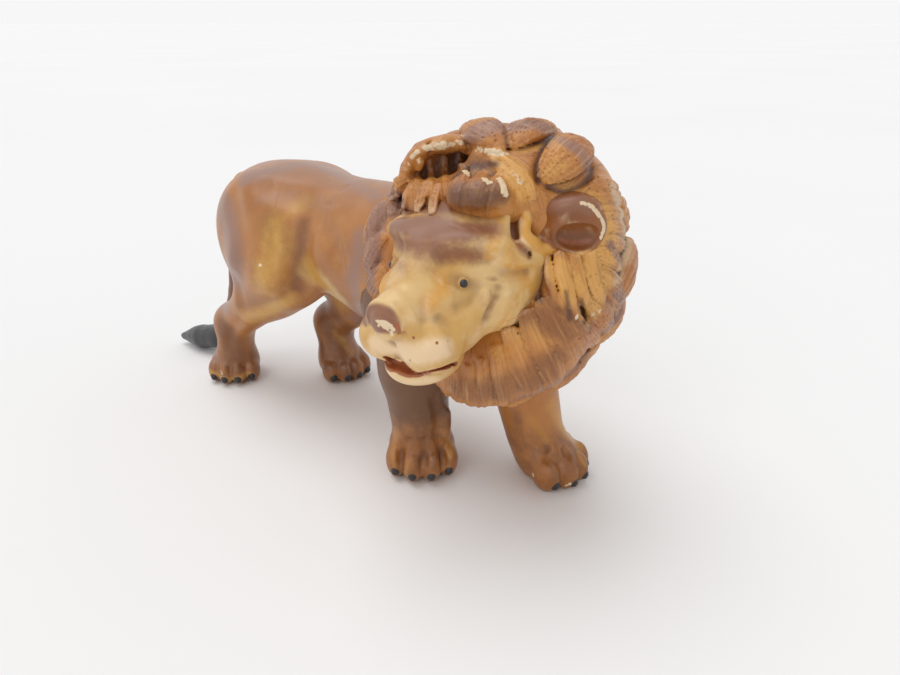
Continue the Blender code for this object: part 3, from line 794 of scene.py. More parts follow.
class Skin:
    """A surface on its way to becoming a piece: its points, faces and paint masks."""

    gains: tuple[float, float, float] = (2.0, 1.2, 2.2)

    def __init__(self, clay: Clay, budget: int | None = None) -> None:
        """Draw the surface of a block of clay.

        Args:
            clay: the block.
            budget: the most triangles that the surface may have.
        """
        self.points, self.quads = clay.skin()
        self.mesh = bpy.data.meshes.new("skin")
        count = len(self.quads)
        self.mesh.vertices.add(len(self.points))
        self.mesh.vertices.foreach_set("co", self.points.astype(np.float32).ravel())
        self.mesh.loops.add(4 * count)
        self.mesh.loops.foreach_set("vertex_index", self.quads.astype(np.int32).ravel())
        self.mesh.polygons.add(count)
        self.mesh.polygons.foreach_set("loop_start", np.arange(0, 4 * count, 4, dtype=np.int32))
        self.mesh.update(calc_edges=True)
        if budget and 2 * count > budget:
            self.thin(budget / (2 * count))
        self.masks: dict[str, Array] = {}

    def thin(self, share: float) -> None:
        """Keep a share of the triangles, where the surface bends most.

        Args:
            share: the share.
        """
        holder = bpy.data.objects.new("skin", self.mesh)
        bpy.context.scene.collection.objects.link(holder)
        fewer = holder.modifiers.new("fewer", "DECIMATE")
        fewer.ratio = share
        bpy.ops.object.select_all(action="DESELECT")
        bpy.context.view_layer.objects.active = holder
        holder.select_set(True)
        bpy.ops.object.modifier_apply(modifier=fewer.name)
        bpy.data.objects.remove(holder)
        self.points = np.empty(3 * len(self.mesh.vertices), np.float32)
        self.mesh.vertices.foreach_get("co", self.points)
        self.points = self.points.reshape(-1, 3)

    def wear(self, clay: Clay, fine: float, broad: float) -> None:
        """Find the ridges that wear and the hollows that hold a dark wash and painted shade.

        Args:
            clay: the block that the surface was drawn from, or one that it is part of.
            fine: the size of the small ridges and hollows, in millimetres.
            broad: the size of the large ones.
        """
        near, wide = clay.relief(self.points, fine), clay.relief(self.points, broad)
        small, large, ridge = self.gains
        self.masks["hollow"] = np.clip(-near * small - wide * large, 0, 1)
        self.masks["ridge"] = np.clip(near * ridge, 0, 1)
        for paint in Paint:
            self.lay(paint, np.zeros(len(self.points)))

    def lay(self, paint: Paint, cover: Array) -> None:
        """Add to the mask of a paint.

        Args:
            paint: the paint.
            cover: how much it covers each point.
        """
        before = self.masks.get(paint.value, 0.0)
        self.masks[paint.value] = np.maximum(before, cover).astype(np.float32)

    def dab(self, landed: list[tuple[Dab, Array]]) -> None:
        """Paint the surface with strokes that have landed."""
        for one, line in landed:
            self.lay(one.paint, one.strength * brush(self.points, line, one.soft))

    def piece(self, name: str, node: str, material: bpy.types.Material, shift: Array) -> None:
        """Make the surface a piece that stands for a node.

        Args:
            name: the piece's name.
            node: the node that it stands for.
            material: its finish.
            shift: from the sculptor's frame to the part's, in millimetres.
        """
        self.mesh.vertices.foreach_set("co", ((self.points + shift) * MM).astype(np.float32).ravel())
        for key, values in self.masks.items():
            layer = self.mesh.attributes.new(key, "FLOAT", "POINT")
            layer.data.foreach_set("value", np.ascontiguousarray(values, np.float32))
        self.mesh.polygons.foreach_set("use_smooth", np.ones(len(self.mesh.polygons), bool))
        self.mesh.update()
        self.mesh.name = name
        self.mesh.materials.append(material)
        holder = bpy.data.objects.new(name, self.mesh)
        bpy.context.scene.collection.objects.link(holder)
        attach(holder, BODY)
        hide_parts(node)
        LOG.info("%s: %d points", name, len(self.points))


class Value:
    """A number that varies over a surface, on which arithmetic adds Math nodes."""

    def __init__(self, recipe: "Recipe", socket: bpy.types.NodeSocket) -> None:
        """Wrap a socket of a recipe."""
        self.recipe, self.socket = recipe, socket

    def _math(self, operation: str, first: object, second: object) -> "Value":
        """Join two numbers by a Math node."""
        node = self.recipe.node("ShaderNodeMath", {"operation": operation}, {0: first, 1: second})
        return Value(self.recipe, node.outputs[0])

    def __add__(self, other: object) -> "Value":
        """Add."""
        return self._math("ADD", self, other)

    __radd__ = __add__

    def __sub__(self, other: object) -> "Value":
        """Take away."""
        return self._math("SUBTRACT", self, other)

    def __rsub__(self, other: object) -> "Value":
        """Take this away from another number."""
        return self._math("SUBTRACT", other, self)

    def __mul__(self, other: object) -> "Value":
        """Multiply."""
        return self._math("MULTIPLY", self, other)

    def ease(self, low: float, high: float) -> "Value":
        """Ease from 0 at one number to 1 at another.

        Args:
            low: where it is 0.
            high: where it is 1.

        Returns:
            The eased number.
        """
        inputs = {"Value": self, "From Min": low, "From Max": high}
        node = self.recipe.node("ShaderNodeMapRange", {"interpolation_type": "SMOOTHSTEP"}, inputs)
        return Value(self.recipe, node.outputs[0])


class Recipe:
    """A paint job in the making: a material and the nodes that mix its colours."""

    def __init__(self, name: str) -> None:
        """Start a material.

        Args:
            name: its name.
        """
        self.material = bpy.data.materials.new(name)
        self.material.use_nodes = True
        self.tree = self.material.node_tree
        self.shader = next(node for node in self.tree.nodes if node.type == "BSDF_PRINCIPLED")
        self.where = self.node("ShaderNodeTexCoord", {}, {}).outputs["Object"]

    def node(self, kind: str, settings: dict[str, object],
             inputs: dict[int | str, object]) -> bpy.types.Node:
        """Add a node.

        Args:
            kind: the node's type.
            settings: its properties, which are set first.
            inputs: a value or a link for each of its sockets that is used.

        Returns:
            The node.
        """
        node = self.tree.nodes.new(kind)
        for key, value in settings.items():
            setattr(node, key, value)
        for key, value in inputs.items():
            if isinstance(value, Value):
                value = value.socket
            if isinstance(value, bpy.types.NodeSocket):
                self.tree.links.new(value, node.inputs[key])
            else:
                node.inputs[key].default_value = value
        return node

    def mask(self, name: str) -> Value:
        """Read one of the piece's masks."""
        return Value(self, self.node("ShaderNodeAttribute", {"attribute_name": name}, {}).outputs["Fac"])

    def noise(self, size: float, detail: float = 3.0, where: bpy.types.NodeSocket | None = None) -> Value:
        """Spread soft noise over the surface.

        Args:
            size: the size of its spots, in millimetres.
            detail: how many finer layers it has.
            where: the coordinates that it reads, or none for the object's.

        Returns:
            The noise, about 0.5 on average.
        """
        inputs = {"Vector": where or self.where, "Scale": 1 / (size * MM) if where is None else 1 / size,
                  "Detail": detail}
        return Value(self, self.node("ShaderNodeTexNoise", {}, inputs).outputs["Fac"])

    def mix(self, factor: object, first: object, second: object) -> bpy.types.NodeSocket:
        """Mix two colours.

        Args:
            factor: how much of the second shows.
            first: a colour or the socket of one.
            second: the other.

        Returns:
            The socket of the mixed colour.
        """
        colours = [(*one, 1.0) if isinstance(one, tuple) else one for one in (first, second)]
        inputs = {0: factor, 6: colours[0], 7: colours[1]}
        node = self.node("ShaderNodeMix", {"data_type": "RGBA"}, inputs)
        return node.outputs[2]

    def close(self, colour: bpy.types.NodeSocket, roughness: Value, height: Value,
              depth: float) -> bpy.types.Material:
        """Link what was mixed to the shader.

        Args:
            colour: the surface's colour.
            roughness: its roughness.
            height: the fine relief.
            depth: how deep the relief is, in millimetres.

        Returns:
            The material.
        """
        bump = self.node("ShaderNodeBump", {}, {"Height": height, "Distance": depth * MM, "Strength": 1.0})
        self.tree.links.new(colour, self.shader.inputs["Base Color"])
        self.tree.links.new(roughness.socket, self.shader.inputs["Roughness"])
        self.tree.links.new(bump.outputs["Normal"], self.shader.inputs["Normal"])
        return self.material


@dataclass(frozen=True)
class HandPaint:
    """Airbrushed and hand-brushed paint on a moulding, with a dark wash and painted shade in its hollows and
    worn ridges.

    Args:
        name: the material's name.
        ground: the two colours of the ground coat.
        tawny: the colour of the red-brown glaze.
        pale: the colour of the light glaze.
        ochre: the colour of the yellow glaze.
        umber: the colour of the airbrushed shading, which on the tops of the back and the mane also stands in
            for a painted sheen.
        cream: the colour of bare, worn plastic.
        wash_and_shade: the dark wash that settles in hollows, which also stands in for painted shade there
            and under the shade dabs.
        black: the colour of eyes, claws and tuft.
        rust: the colour of nose and mouth.
        light: the colour of the light streaks.
        wash_and_shade_share: how strongly the dark wash and painted shade show in hollows.
        wear_share: how strongly the ridges are worn.
        speck_share: how strongly fine dark specks show.
        gloss: the roughness where the paint is shiniest.
        mottle: how strongly the light glaze shows in blotches.
        strands: whether streaks run along locks.
        streaks: how strong the dark and the light streaks are, and how much they stand out.
        relief: how deep the fine relief is, in millimetres.
    """

    name: str
    ground: tuple[Colour, Colour] = ((0.38, 0.145, 0.04), (0.45, 0.195, 0.06))
    tawny: Colour = (0.28, 0.10, 0.022)
    pale: Colour = (0.70, 0.50, 0.27)
    ochre: Colour = (0.55, 0.29, 0.06)
    umber: Colour = (0.22, 0.095, 0.055)
    cream: Colour = (0.80, 0.62, 0.40)
    wash_and_shade: Colour = (0.10, 0.032, 0.012)
    black: Colour = (0.02, 0.018, 0.02)
    rust: Colour = (0.36, 0.10, 0.03)
    light: Colour = (0.80, 0.46, 0.16)
    wash_and_shade_share: float = 0.8
    wear_share: float = 0.5
    speck_share: float = 0.3
    gloss: float = 0.34
    mottle: float = 0.0
    strands: bool = False
    streaks: tuple[float, float, float] = (0.34, 0.28, 1.4)
    relief: float = 0.07

    def material(self) -> bpy.types.Material:
        """Build the material.

        Returns:
            The material.
        """
        mix = Recipe(self.name)
        clouds = mix.noise(9.0)
        blotch = mix.noise(2.4, 4.0)
        grain = mix.noise(0.55, 2.0)
        colour = mix.mix(clouds.ease(0.35, 0.65), *self.ground)
        glazes = ((Paint.TAWNY, self.tawny), (Paint.PALE, self.pale), (Paint.OCHRE, self.ochre),
                  (Paint.UMBER, self.umber))
        for key, tone in glazes:
            cover = (mix.mask(key.value) + (blotch - 0.5) * 0.6 + (grain - 0.5) * 0.2).ease(0.15, 0.95)
            if key is Paint.UMBER:
                colour = mix.mix((blotch - 0.5).ease(0.02, 0.24) * self.mottle, colour, self.pale)
            colour = mix.mix(cover, colour, tone)
        height = grain * 0.35 + blotch * 0.5
        if self.strands:
            dark, light, raised = self.streaks
            places = {"X": mix.mask("across") * 2.0, "Y": mix.mask("along") * 0.14,
                      "Z": mix.mask("tint") * 40.0}
            run = mix.node("ShaderNodeCombineXYZ", {}, places)
            streak = mix.noise(1.0, 4.0, run.outputs[0])
            colour = mix.mix((streak - 0.5).ease(0.0, 0.22) * dark, colour, self.wash_and_shade)
            colour = mix.mix((0.5 - streak).ease(0.02, 0.24) * light, colour, self.light)
            height = height + streak * raised
        hollow = mix.mask("hollow")
        ridge = mix.mask("ridge")
        # Hollows are darkened by their depth: a dark wash and painted shade at once.
        wash_and_shade = (hollow + (blotch - 0.5) * 0.3).ease(0.08, 0.8) * self.wash_and_shade_share
        colour = mix.mix(wash_and_shade, colour, self.wash_and_shade)
        shade = (mix.mask(Paint.SHADE.value) + (blotch - 0.5) * 0.3).ease(0.1, 0.9)
        colour = mix.mix(shade, colour, self.wash_and_shade)
        worn = (ridge + (grain - 0.5) * 0.5 + (blotch - 0.5) * 0.5).ease(0.45, 1.0) * self.wear_share
        colour = mix.mix(worn, colour, self.cream)
        chips = (mix.mask(Paint.CREAM.value) + (blotch - 0.5) * 0.6 + (grain - 0.5) * 0.9).ease(0.42, 0.62)
        colour = mix.mix(chips, colour, self.cream)
        for key, tone in ((Paint.RUST, self.rust), (Paint.BLACK, self.black)):
            cover = (mix.mask(key.value) + (grain - 0.5) * 0.3).ease(0.35, 0.65)
            colour = mix.mix(cover, colour, tone)
        specks = (mix.noise(0.5, 1.0) - 0.5).ease(0.2, 0.27) * self.speck_share
        colour = mix.mix(specks, colour, self.wash_and_shade)
        roughness = self.gloss + blotch * 0.16 + hollow * 0.2 + chips * 0.15
        mix.shader.inputs["Specular IOR Level"].default_value = 0.45
        mix.shader.inputs["Coat Weight"].default_value = 0.25
        mix.shader.inputs["Coat Roughness"].default_value = 0.28
        return mix.close(colour, roughness, height, self.relief)


@dataclass(frozen=True)
class Paw:
    """A paw with four toes and their claws.

    Args:
        place: where its middle stands.
        toe: the way that it points.
        size: its width, length and height.
        rows: how far sideways and ahead each toe lies, as shares of width and length.
    """

    place: tuple[float, float]
    toe: tuple[float, float]
    size: tuple[float, float, float]
    rows: Rows = ((-0.37, 0.15), (-0.13, 0.29), (0.13, 0.29), (0.37, 0.15))

    def frame(self) -> Place:
        """Return the paw's frame: sideways, back and up."""
        x, y = np.array(self.toe) / math.hypot(*self.toe)
        return Place(np.array([*self.place, 0.0]), np.array([[-y, -x, 0], [x, -y, 0], [0, 0, 1.0]]))

    def steps(self) -> list[Step]:
        """Shape the steps that shape the paw.

        Returns:
            The steps that shape the paw.
        """
        wide, long, high = self.size
        frame = self.frame()
        steps = [Step(Ball((0, 1.2, high * 0.44), (wide * 0.47, long * 0.44, high * 0.55), place=frame), 3)]
        for side, ahead in self.rows:
            centre = (side * wide, -ahead * long, high * 0.36)
            steps.append(Step(Ball(centre, (wide * 0.16, long * 0.21, high * 0.37), place=frame), 0.5))
            knuckle = (side * wide * 0.94, -(ahead - 0.16) * long, high * 0.56)
            steps.append(Step(Ball(knuckle, (wide * 0.13, long * 0.17, high * 0.26), place=frame), 0.9))
        return steps + [Step(claw, 0.25) for claw in self.claws()]

    def claws(self) -> list[Ball]:
        """Shape the claws.

        Returns:
            The claws.
        """
        wide, long, high = self.size
        balls = []
        for side, ahead in self.rows:
            centre = (side * wide * 1.06, -(ahead + 0.175) * long, high * 0.22)
            balls.append(Ball(centre, (0.78, 0.8, 1.1), (25, 0, 0), self.frame()))
        return balls


@dataclass(frozen=True)
class Leg:
    """A leg with its paw.

    Args:
        name: the leg's name, which its node has too.
        slot: the record's slot of its paint.
        thigh: the lumps of its upper part.
        bones: chains of round cones down the leg, each with how far it blends.
        paw: its paw.
        shade: how dark its upper part is painted.
    """

    name: str
    slot: str
    thigh: tuple[tuple[tuple, tuple, tuple, float], ...]
    bones: tuple[tuple[Rows, float], ...]
    paw: Paw
    shade: float

    def steps(self) -> list[Step]:
        """Shape the steps that shape the leg.

        Returns:
            The steps that shape the leg.
        """
        steps = [Step(Ball(centre, radii, turn), blend) for centre, radii, turn, blend in self.thigh]
        steps += [Step(Limb(rows, blend=3.0), blend) for rows, blend in self.bones]
        return steps + self.paw.steps()


@dataclass
class Body:
    """The trunk, the legs and the tail under one airbrushed coat."""

    cell: float = 0.4
    overlap: float = 0.4
    fold_blend: float = 2.5
    bump_blend: float = 1.5
    toe_blend: float = 1.0
    hidden_share: float = 0.6
    grain: tuple[float, float] = (0.9, 3.0)
    trunk: tuple = (
        ((0, -16, 42), (14, 24, 15.5), 0), ((0, 4, 44.2), (12.8, 24, 13), 6),
        ((0, 25, 45), (13, 20, 13.4), 6), ((0, 36, 41.5), (11, 12.5, 13), 6))
    legs: tuple[Leg, ...] = (
        Leg("right_hind_leg", "coat_paint", (((-8.0, 27, 40), (7.5, 15.5, 16), (8, 0, 0), 5),),
            ((((-9, 24, 38, 9), (-10.5, 16, 35.5, 6.5), (-9, 44, 16.5, 4.6)), 5),
             (((-9, 44, 16.5, 4.6), (-8.5, 46, 8, 4.8)), 3)),
            Paw((-9.0, 46.3), (-0.72, -0.69), (12.6, 13.2, 8.6)), 0.0),
        Leg("left_hind_leg", "coat_paint", (((8.0, 25, 40), (7.5, 15.5, 16), (8, 0, 0), 5),),
            ((((9, 22, 38, 9), (11.5, 8, 30, 6.5), (11, 29, 15, 4.6)), 5),
             (((11, 29, 15, 4.6), (10.5, 27.5, 8, 4.8)), 3)),
            Paw((11.0, 26.0), (-0.25, -0.97), (12.6, 13.2, 8.6)), 0.15),
        Leg("right_fore_leg", "fore_leg_paint", (),
            ((((-8, -21, 36, 9.2), (-7.3, -20, 24, 6.7), (-6.3, -20.5, 10, 5.9)), 5),),
            Paw((-6.4, -20.8), (-0.72, -0.69), (14.2, 15.0, 10.4)), 1.0),
        Leg("left_fore_leg", "fore_leg_paint", (),
            ((((9, -28, 36, 9.5), (9, -34, 24, 7.0), (9.5, -38, 9.5, 6.0)), 5),),
            Paw((10.0, -42.5), (0.0, -1.0), (13.8, 15.0, 9.6)), 0.1))
    tail: Rows = ((0, 46, 50, 3.4), (0, 51.5, 44, 3.0), (0, 54, 32, 2.4), (-1, 55, 20, 2.1),
                  (-2.5, 58, 10.5, 2.2), (-4, 63, 5.2, 3.1), (-5.5, 69, 3.8, 3.2), (-7.4, 76, 2.4, 1.0))
    tuft_start: float = 57.0
    inset: float = 0.04
    creases: tuple = (
        (((306, 212, 18), (302, 238, 18), (298, 268, 16), (296, 292, 12)), 1.1),
        (((241, 303, 11), (263, 304, 11), (284, 298, 10)), 0.35),
        (((232, 200, 14), (240, 240, 14), (236, 285, 12)), 0.35),
        (((262, 186, 16), (285, 194, 18), (306, 200, 18)), 0.3),
        (((316, 222, 10), (330, 240, 12), (338, 262, 9)), 0.35),
        (((228, 345, 4), (232, 330, 4), (238, 322, 3)), 0.4))
    leg_creases: tuple = (
        ("right_fore_leg", ((400, 462, 3), (402, 450, 3), (408, 440, 2)), 0.5),
        ("right_fore_leg", ((425, 464, 3), (424, 452, 3), (424, 440, 2)), 0.5),
        ("right_fore_leg", ((444, 464, 3), (441, 450, 3), (438, 438, 2)), 0.6),
        ("right_fore_leg", ((434, 400, 6), (438, 420, 6), (436, 436, 4)), 0.5),
        ("left_fore_leg", ((574, 474, 3), (569, 462, 3), (562, 450, 2)), 0.3),
        ("left_fore_leg", ((586, 452, 3), (580, 443, 3), (574, 436, 2)), 0.4),
        ("left_fore_leg", ((528, 402, 5), (534, 430, 5), (546, 448, 4)), 0.4))
    bumps: tuple = (("right_fore_leg", ((446, 414, 5), (446, 424, 6), (445, 433, 5)), 1.0),
                    ("left_fore_leg", ((548, 446, 7), (560, 452, 7), (572, 458, 5)), 0.5))
    dabs: tuple[Dab, ...] = (
        Dab(Paint.UMBER, ((222, 205, 16), (230, 240, 17), (233, 275, 15), (228, 305, 11)), 1.9, 1.0),
        # Purple-grey umber along the top of the back: partly purple-brown paint, partly a painted sheen.
        Dab(Paint.UMBER, ((248, 176, 14), (280, 168, 14), (312, 164, 14), (345, 176, 14)), 1.9, 0.9),
        Dab(Paint.UMBER, ((345, 178, 12), (378, 196, 12)), 1.9, 0.7),
        Dab(Paint.UMBER, ((262, 200, 12), (290, 194, 12), (330, 204, 14)), 2.0, 0.45),
        Dab(Paint.UMBER, ((360, 240, 16), (354, 280, 15), (362, 322, 14)), 1.9, 0.8),
        Dab(Paint.TAWNY, ((304, 222, 10), (300, 250, 11), (297, 288, 9)), 2.4, 0.75),
        Dab(Paint.UMBER, ((301, 232, 8), (298, 255, 9), (296, 285, 8)), 2.8, 0.3),
        Dab(Paint.TAWNY, ((318, 300, 8), (335, 316, 9), (358, 338, 10)), 2.4, 0.8),
        Dab(Paint.TAWNY, ((238, 304, 9), (262, 304, 9), (284, 298, 8)), 2.8, 0.5),
        Dab(Paint.OCHRE, ((276, 226, 16), (274, 250, 20), (262, 284, 20)), 3.0, 0.85),
        Dab(Paint.TAWNY, ((270, 222, 15), (275, 242, 17)), 3.0, 0.8),
        Dab(Paint.OCHRE, ((306, 200, 12), (290, 212, 12)), 2.0, 0.6),
        Dab(Paint.OCHRE, ((310, 268, 14), (322, 284, 15), (340, 302, 12)), 2.0, 0.9),
        Dab(Paint.PALE, ((310, 272, 11), (326, 284, 13), (340, 298, 10)), 2.6, 0.9),
        Dab(Paint.OCHRE, ((248, 320, 10), (272, 310, 10), (292, 298, 8)), 2.0, 0.8),
        Dab(Paint.PALE, ((262, 268, 12), (262, 284, 12)), 2.4, 0.45),
        Dab(Paint.PALE, ((252, 318, 7), (272, 310, 7), (290, 300, 6)), 2.4, 0.55),
        Dab(Paint.OCHRE, ((325, 235, 16), (335, 262, 14)), 2.0, 0.25),
        Dab(Paint.CREAM, ((260, 265, 2.2),), 0.8, 0.9),
        Dab(Paint.CREAM, ((262, 284, 3), (272, 276, 2)), 1.8, 0.35),
        Dab(Paint.CREAM, ((222, 206, 1.5), (220, 226, 2), (222, 240, 1.5)), 1.5, 0.4))
    leg_dabs: tuple = (
        ("right_hind_leg", Dab(Paint.CREAM, ((221, 371, 2), (223, 375, 1.5)), 1.2, 0.5)),
        ("right_hind_leg", Dab(Paint.OCHRE, ((210, 372, 4), (230, 381, 4), (248, 374, 4)), 1.2, 0.7)),
        ("right_hind_leg", Dab(Paint.TAWNY, ((222, 326, 12), (232, 348, 14), (236, 366, 13)), 1.9, 1.0)),
        ("right_hind_leg", Dab(Paint.UMBER, ((214, 345, 7), (218, 362, 7)), 1.9, 0.7)),
        ("left_hind_leg", Dab(Paint.OCHRE, ((340, 384, 3), (358, 383, 3)), 1.4, 0.7)),
        ("left_hind_leg", Dab(Paint.TAWNY, ((326, 322, 13), (340, 350, 14), (350, 372, 13)), 1.9, 1.0)),
        ("left_hind_leg", Dab(Paint.SHADE, ((312, 320, 6), (322, 350, 6), (328, 368, 5)), 1.9, 0.5)),
        ("left_hind_leg", Dab(Paint.OCHRE, ((334, 332, 5), (352, 352, 6)), 1.9, 0.5)),
        ("right_fore_leg", Dab(Paint.TAWNY, ((424, 440, 22), (424, 462, 22)), 1.6, 0.8)),
        ("left_fore_leg", Dab(Paint.TAWNY, ((516, 415, 8), (528, 452, 9), (548, 474, 9)), 2.0, 0.6)),
        ("left_fore_leg", Dab(Paint.OCHRE, ((552, 406, 9), (566, 432, 9), (580, 444, 7)), 2.0, 0.8)),
        ("right_fore_leg", Dab(Paint.CREAM, ((406, 483, 2.4), (412, 485, 2)), 0.8, 0.95)),
        ("right_fore_leg", Dab(Paint.OCHRE, ((396, 430, 6), (392, 452, 5), (394, 466, 4)), 1.4, 0.5)),
        ("right_fore_leg", Dab(Paint.OCHRE, ((448, 440, 5), (452, 455, 5)), 1.3, 0.6)),
        ("right_fore_leg", Dab(Paint.OCHRE, ((405, 474, 3), (408, 462, 3)), 1.3, 0.5)),
        ("right_fore_leg", Dab(Paint.UMBER, ((448, 416, 8), (448, 428, 7)), 1.4, 1.0)),
        ("right_fore_leg", Dab(Paint.RUST, ((424, 466, 6), (424, 476, 6)), 1.6, 0.35)),
        ("left_fore_leg", Dab(Paint.OCHRE, ((532, 420, 7), (545, 440, 7)), 1.5, 0.5)),
        ("left_fore_leg", Dab(Paint.OCHRE, ((578, 452, 3), (582, 460, 3), (586, 466, 2)), 1.2, 0.6)),
        ("left_fore_leg", Dab(Paint.TAWNY, ((570, 436, 5), (566, 448, 5), (560, 458, 5)), 1.9, 0.6)),
        ("left_fore_leg", Dab(Paint.CREAM, ((533, 475, 2),), 0.9, 0.9)),
        ("left_fore_leg", Dab(Paint.CREAM, ((570, 484, 2), (565, 486, 1.5)), 0.9, 0.7)))

    def forms(self) -> dict[str, list[Step]]:
        """Shape the steps of each node, before any crease.

        Returns:
            The steps of each node, before any crease.
        """
        forms = {"torso": [Step(Ball(centre, radii), blend) for centre, radii, blend in self.trunk]}
        for leg in self.legs:
            forms[leg.name] = leg.steps()
        forms["tail"] = [Step(Limb(self.tail, blend=1.0), 2.0)]
        return forms

    def tuft_locks(self) -> list[Step]:
        """Shape the locks of the tuft at the tail's end.

        Returns:
            The locks of the tuft at the tail's end.
        """
        steps = []
        for turn in range(7):
            angle = math.tau * (turn + 0.3) / 7
            side = np.array([math.cos(angle), 0.2, math.sin(angle)])
            line = curve(((-3.0, 59, 8.0), (-4.6, 65, 4.8), (-5.8, 71, 3.6), (-7.4, 77, 2.4)), 10)
            spread = np.array([1.2, 2.4, 2.2, 0.4])
            path = line + np.interp(np.linspace(0, 3, 10), range(4), spread)[:, None] * side
            sizes = np.interp(np.linspace(0, 3, 10), range(4), (1.2, 1.7, 1.4, 0.6))
            path[:, 2] = np.maximum(path[:, 2], 1.0)
            outward = np.tile(side, (10, 1))
            one = Lock(path, outward, np.column_stack([sizes, sizes * 0.6]), 3, 0.3, angle)
            steps.append(Step(one, 0.4))
        return steps

    def build(self, shift: Array) -> None:
        """Shape and paint the body's pieces.

        Args:
            shift: from the sculptor's frame to the part's, in millimetres.
        """
        forms = self.forms()
        everything = [step for steps in forms.values() for step in steps]
        whole = Clay(everything, self.cell)
        bare = {name: Clay(steps, self.cell, whole) for name, steps in forms.items()}
        extra = [crease(whole, rows, depth, self.fold_blend) for rows, depth in self.creases]
        for name, rows, height in self.bumps:
            extra.append(Step(bead(bare[name], rows, height), self.bump_blend))
        extra += [crease(bare[name], rows, depth, self.toe_blend) for name, rows, depth in self.leg_creases]
        for step in extra + self.tuft_locks():
            whole.press(step)
        whole.stand(0.0)
        fields = {name: clay.field for name, clay in bare.items()}
        finishes = {
            # The coat's purple-grey umber is partly its purple-brown paint and partly a painted sheen on the
            # top of the back and the rump.
            "coat_paint": HandPaint("airbrushed_coat", ((0.37, 0.138, 0.032), (0.44, 0.178, 0.045)),
                                    tawny=(0.22, 0.08, 0.022), pale=(0.62, 0.42, 0.18),
                                    umber=(0.315, 0.168, 0.118), ochre=(0.56, 0.29, 0.055),
                                    wash_and_shade_share=0.6, wear_share=0.25, mottle=0.1).material(),
            "fore_leg_paint": HandPaint("leg_coat", ((0.40, 0.14, 0.028), (0.50, 0.195, 0.04)),
                                        tawny=(0.25, 0.09, 0.02), umber=(0.15, 0.062, 0.022),
                                        ochre=(0.60, 0.28, 0.05), wear_share=0.3).material(),
            "tail_paint": HandPaint("tail_coat", wear_share=0.3,
                                    black=(0.045, 0.043, 0.045)).material()}
        slots = {"torso": "coat_paint", "tail": "tail_paint", **{leg.name: leg.slot for leg in self.legs}}
        landed = land_dabs(whole, self.dabs, WORLD, fade=self.hidden_share)
        for name, own in fields.items():
            others = np.minimum.reduce([field for key, field in fields.items() if key != name])
            part = Clay([], self.cell, whole)
            border = (own - others) / 2
            under = 0.0
            if name == "torso":
                under = self.inset * smooth((border + 3 * self.overlap) / (2 * self.overlap))
            part.field = np.maximum(whole.field + under, border - self.overlap).astype(np.float32)
            skin = Skin(part)
            skin.wear(whole, *self.grain)
            own_dabs = tuple(one for key, one in self.leg_dabs if key == name)
            skin.dab(landed + land_dabs(bare[name], own_dabs))
            self.paint(skin, name)
            skin.piece(f"lion_{name}", name, finishes[slots[name]], shift)

    def paint(self, skin: Skin, name: str) -> None:
        """Airbrush one piece.

        Args:
            skin: its surface.
            name: its node.
        """
        points = skin.points
        # Purple-grey umber over the top of the back: partly the airbrush's purple-brown, partly a painted
        # sheen on the top.
        back = smooth((points[:, 2] - 50) / 9) * smooth((points[:, 1] + 30) / 20)
        skin.lay(Paint.UMBER, 0.55 * back)
        low = smooth((5 - points[:, 2]) / 5) * smooth((26 - points[:, 2]) / 10)
        skin.lay(Paint.OCHRE, 0.35 * low)
        for leg in self.legs:
            if leg.name == name:
                dark = smooth((points[:, 2] - 4) / 15)
                skin.lay(Paint.UMBER, leg.shade * dark)
                shank = smooth((20 - points[:, 2]) / 12)
                skin.lay(Paint.TAWNY, 0.6 * shank)
                skin.lay(Paint.UMBER, 0.3 * shank)
                for claw in leg.paw.claws():
                    skin.lay(Paint.BLACK, smooth(0.8 - claw.distance(points) / 0.5))
        if name == "tail":
            skin.lay(Paint.BLACK, smooth((points[:, 1] - self.tuft_start) / 3))


def head_place() -> Place:
    """Place the head, turned over the right shoulder.

    Returns:
        Its frame: forward, left and up.
    """
    turn, nod = math.radians(85), math.radians(4)
    forward = np.array([-math.sin(turn) * math.cos(nod), -math.cos(turn) * math.cos(nod), -math.sin(nod)])
    left = np.array([math.cos(turn), -math.sin(turn), 0.0])
    return Place(np.array([-8.0, -39.0, 52.6]), np.stack([forward, left, np.cross(forward, left)], 1))


HEAD = head_place()


def mirrored(step: Step) -> list[Step]:
    """Repeat a step on the other side of the head.

    Args:
        step: the step.

    Returns:
        The step and its twin.
    """
    flip = np.eye(3) - 2 * np.outer(HEAD.axes[:, 1], HEAD.axes[:, 1])
    shape = step.shape
    if isinstance(shape, Lock):
        path = HEAD.origin + (shape.path - HEAD.origin) @ flip
        twin = Lock(path, shape.outward @ flip, shape.sizes, shape.strands, shape.score, -shape.phase)
    else:
        points = HEAD.origin + (shape.points - HEAD.origin) @ flip
        twin = Limb(np.column_stack([points, shape.radii]), blend=shape.blend)
    return [step, Step(twin, step.blend, step.cut)]


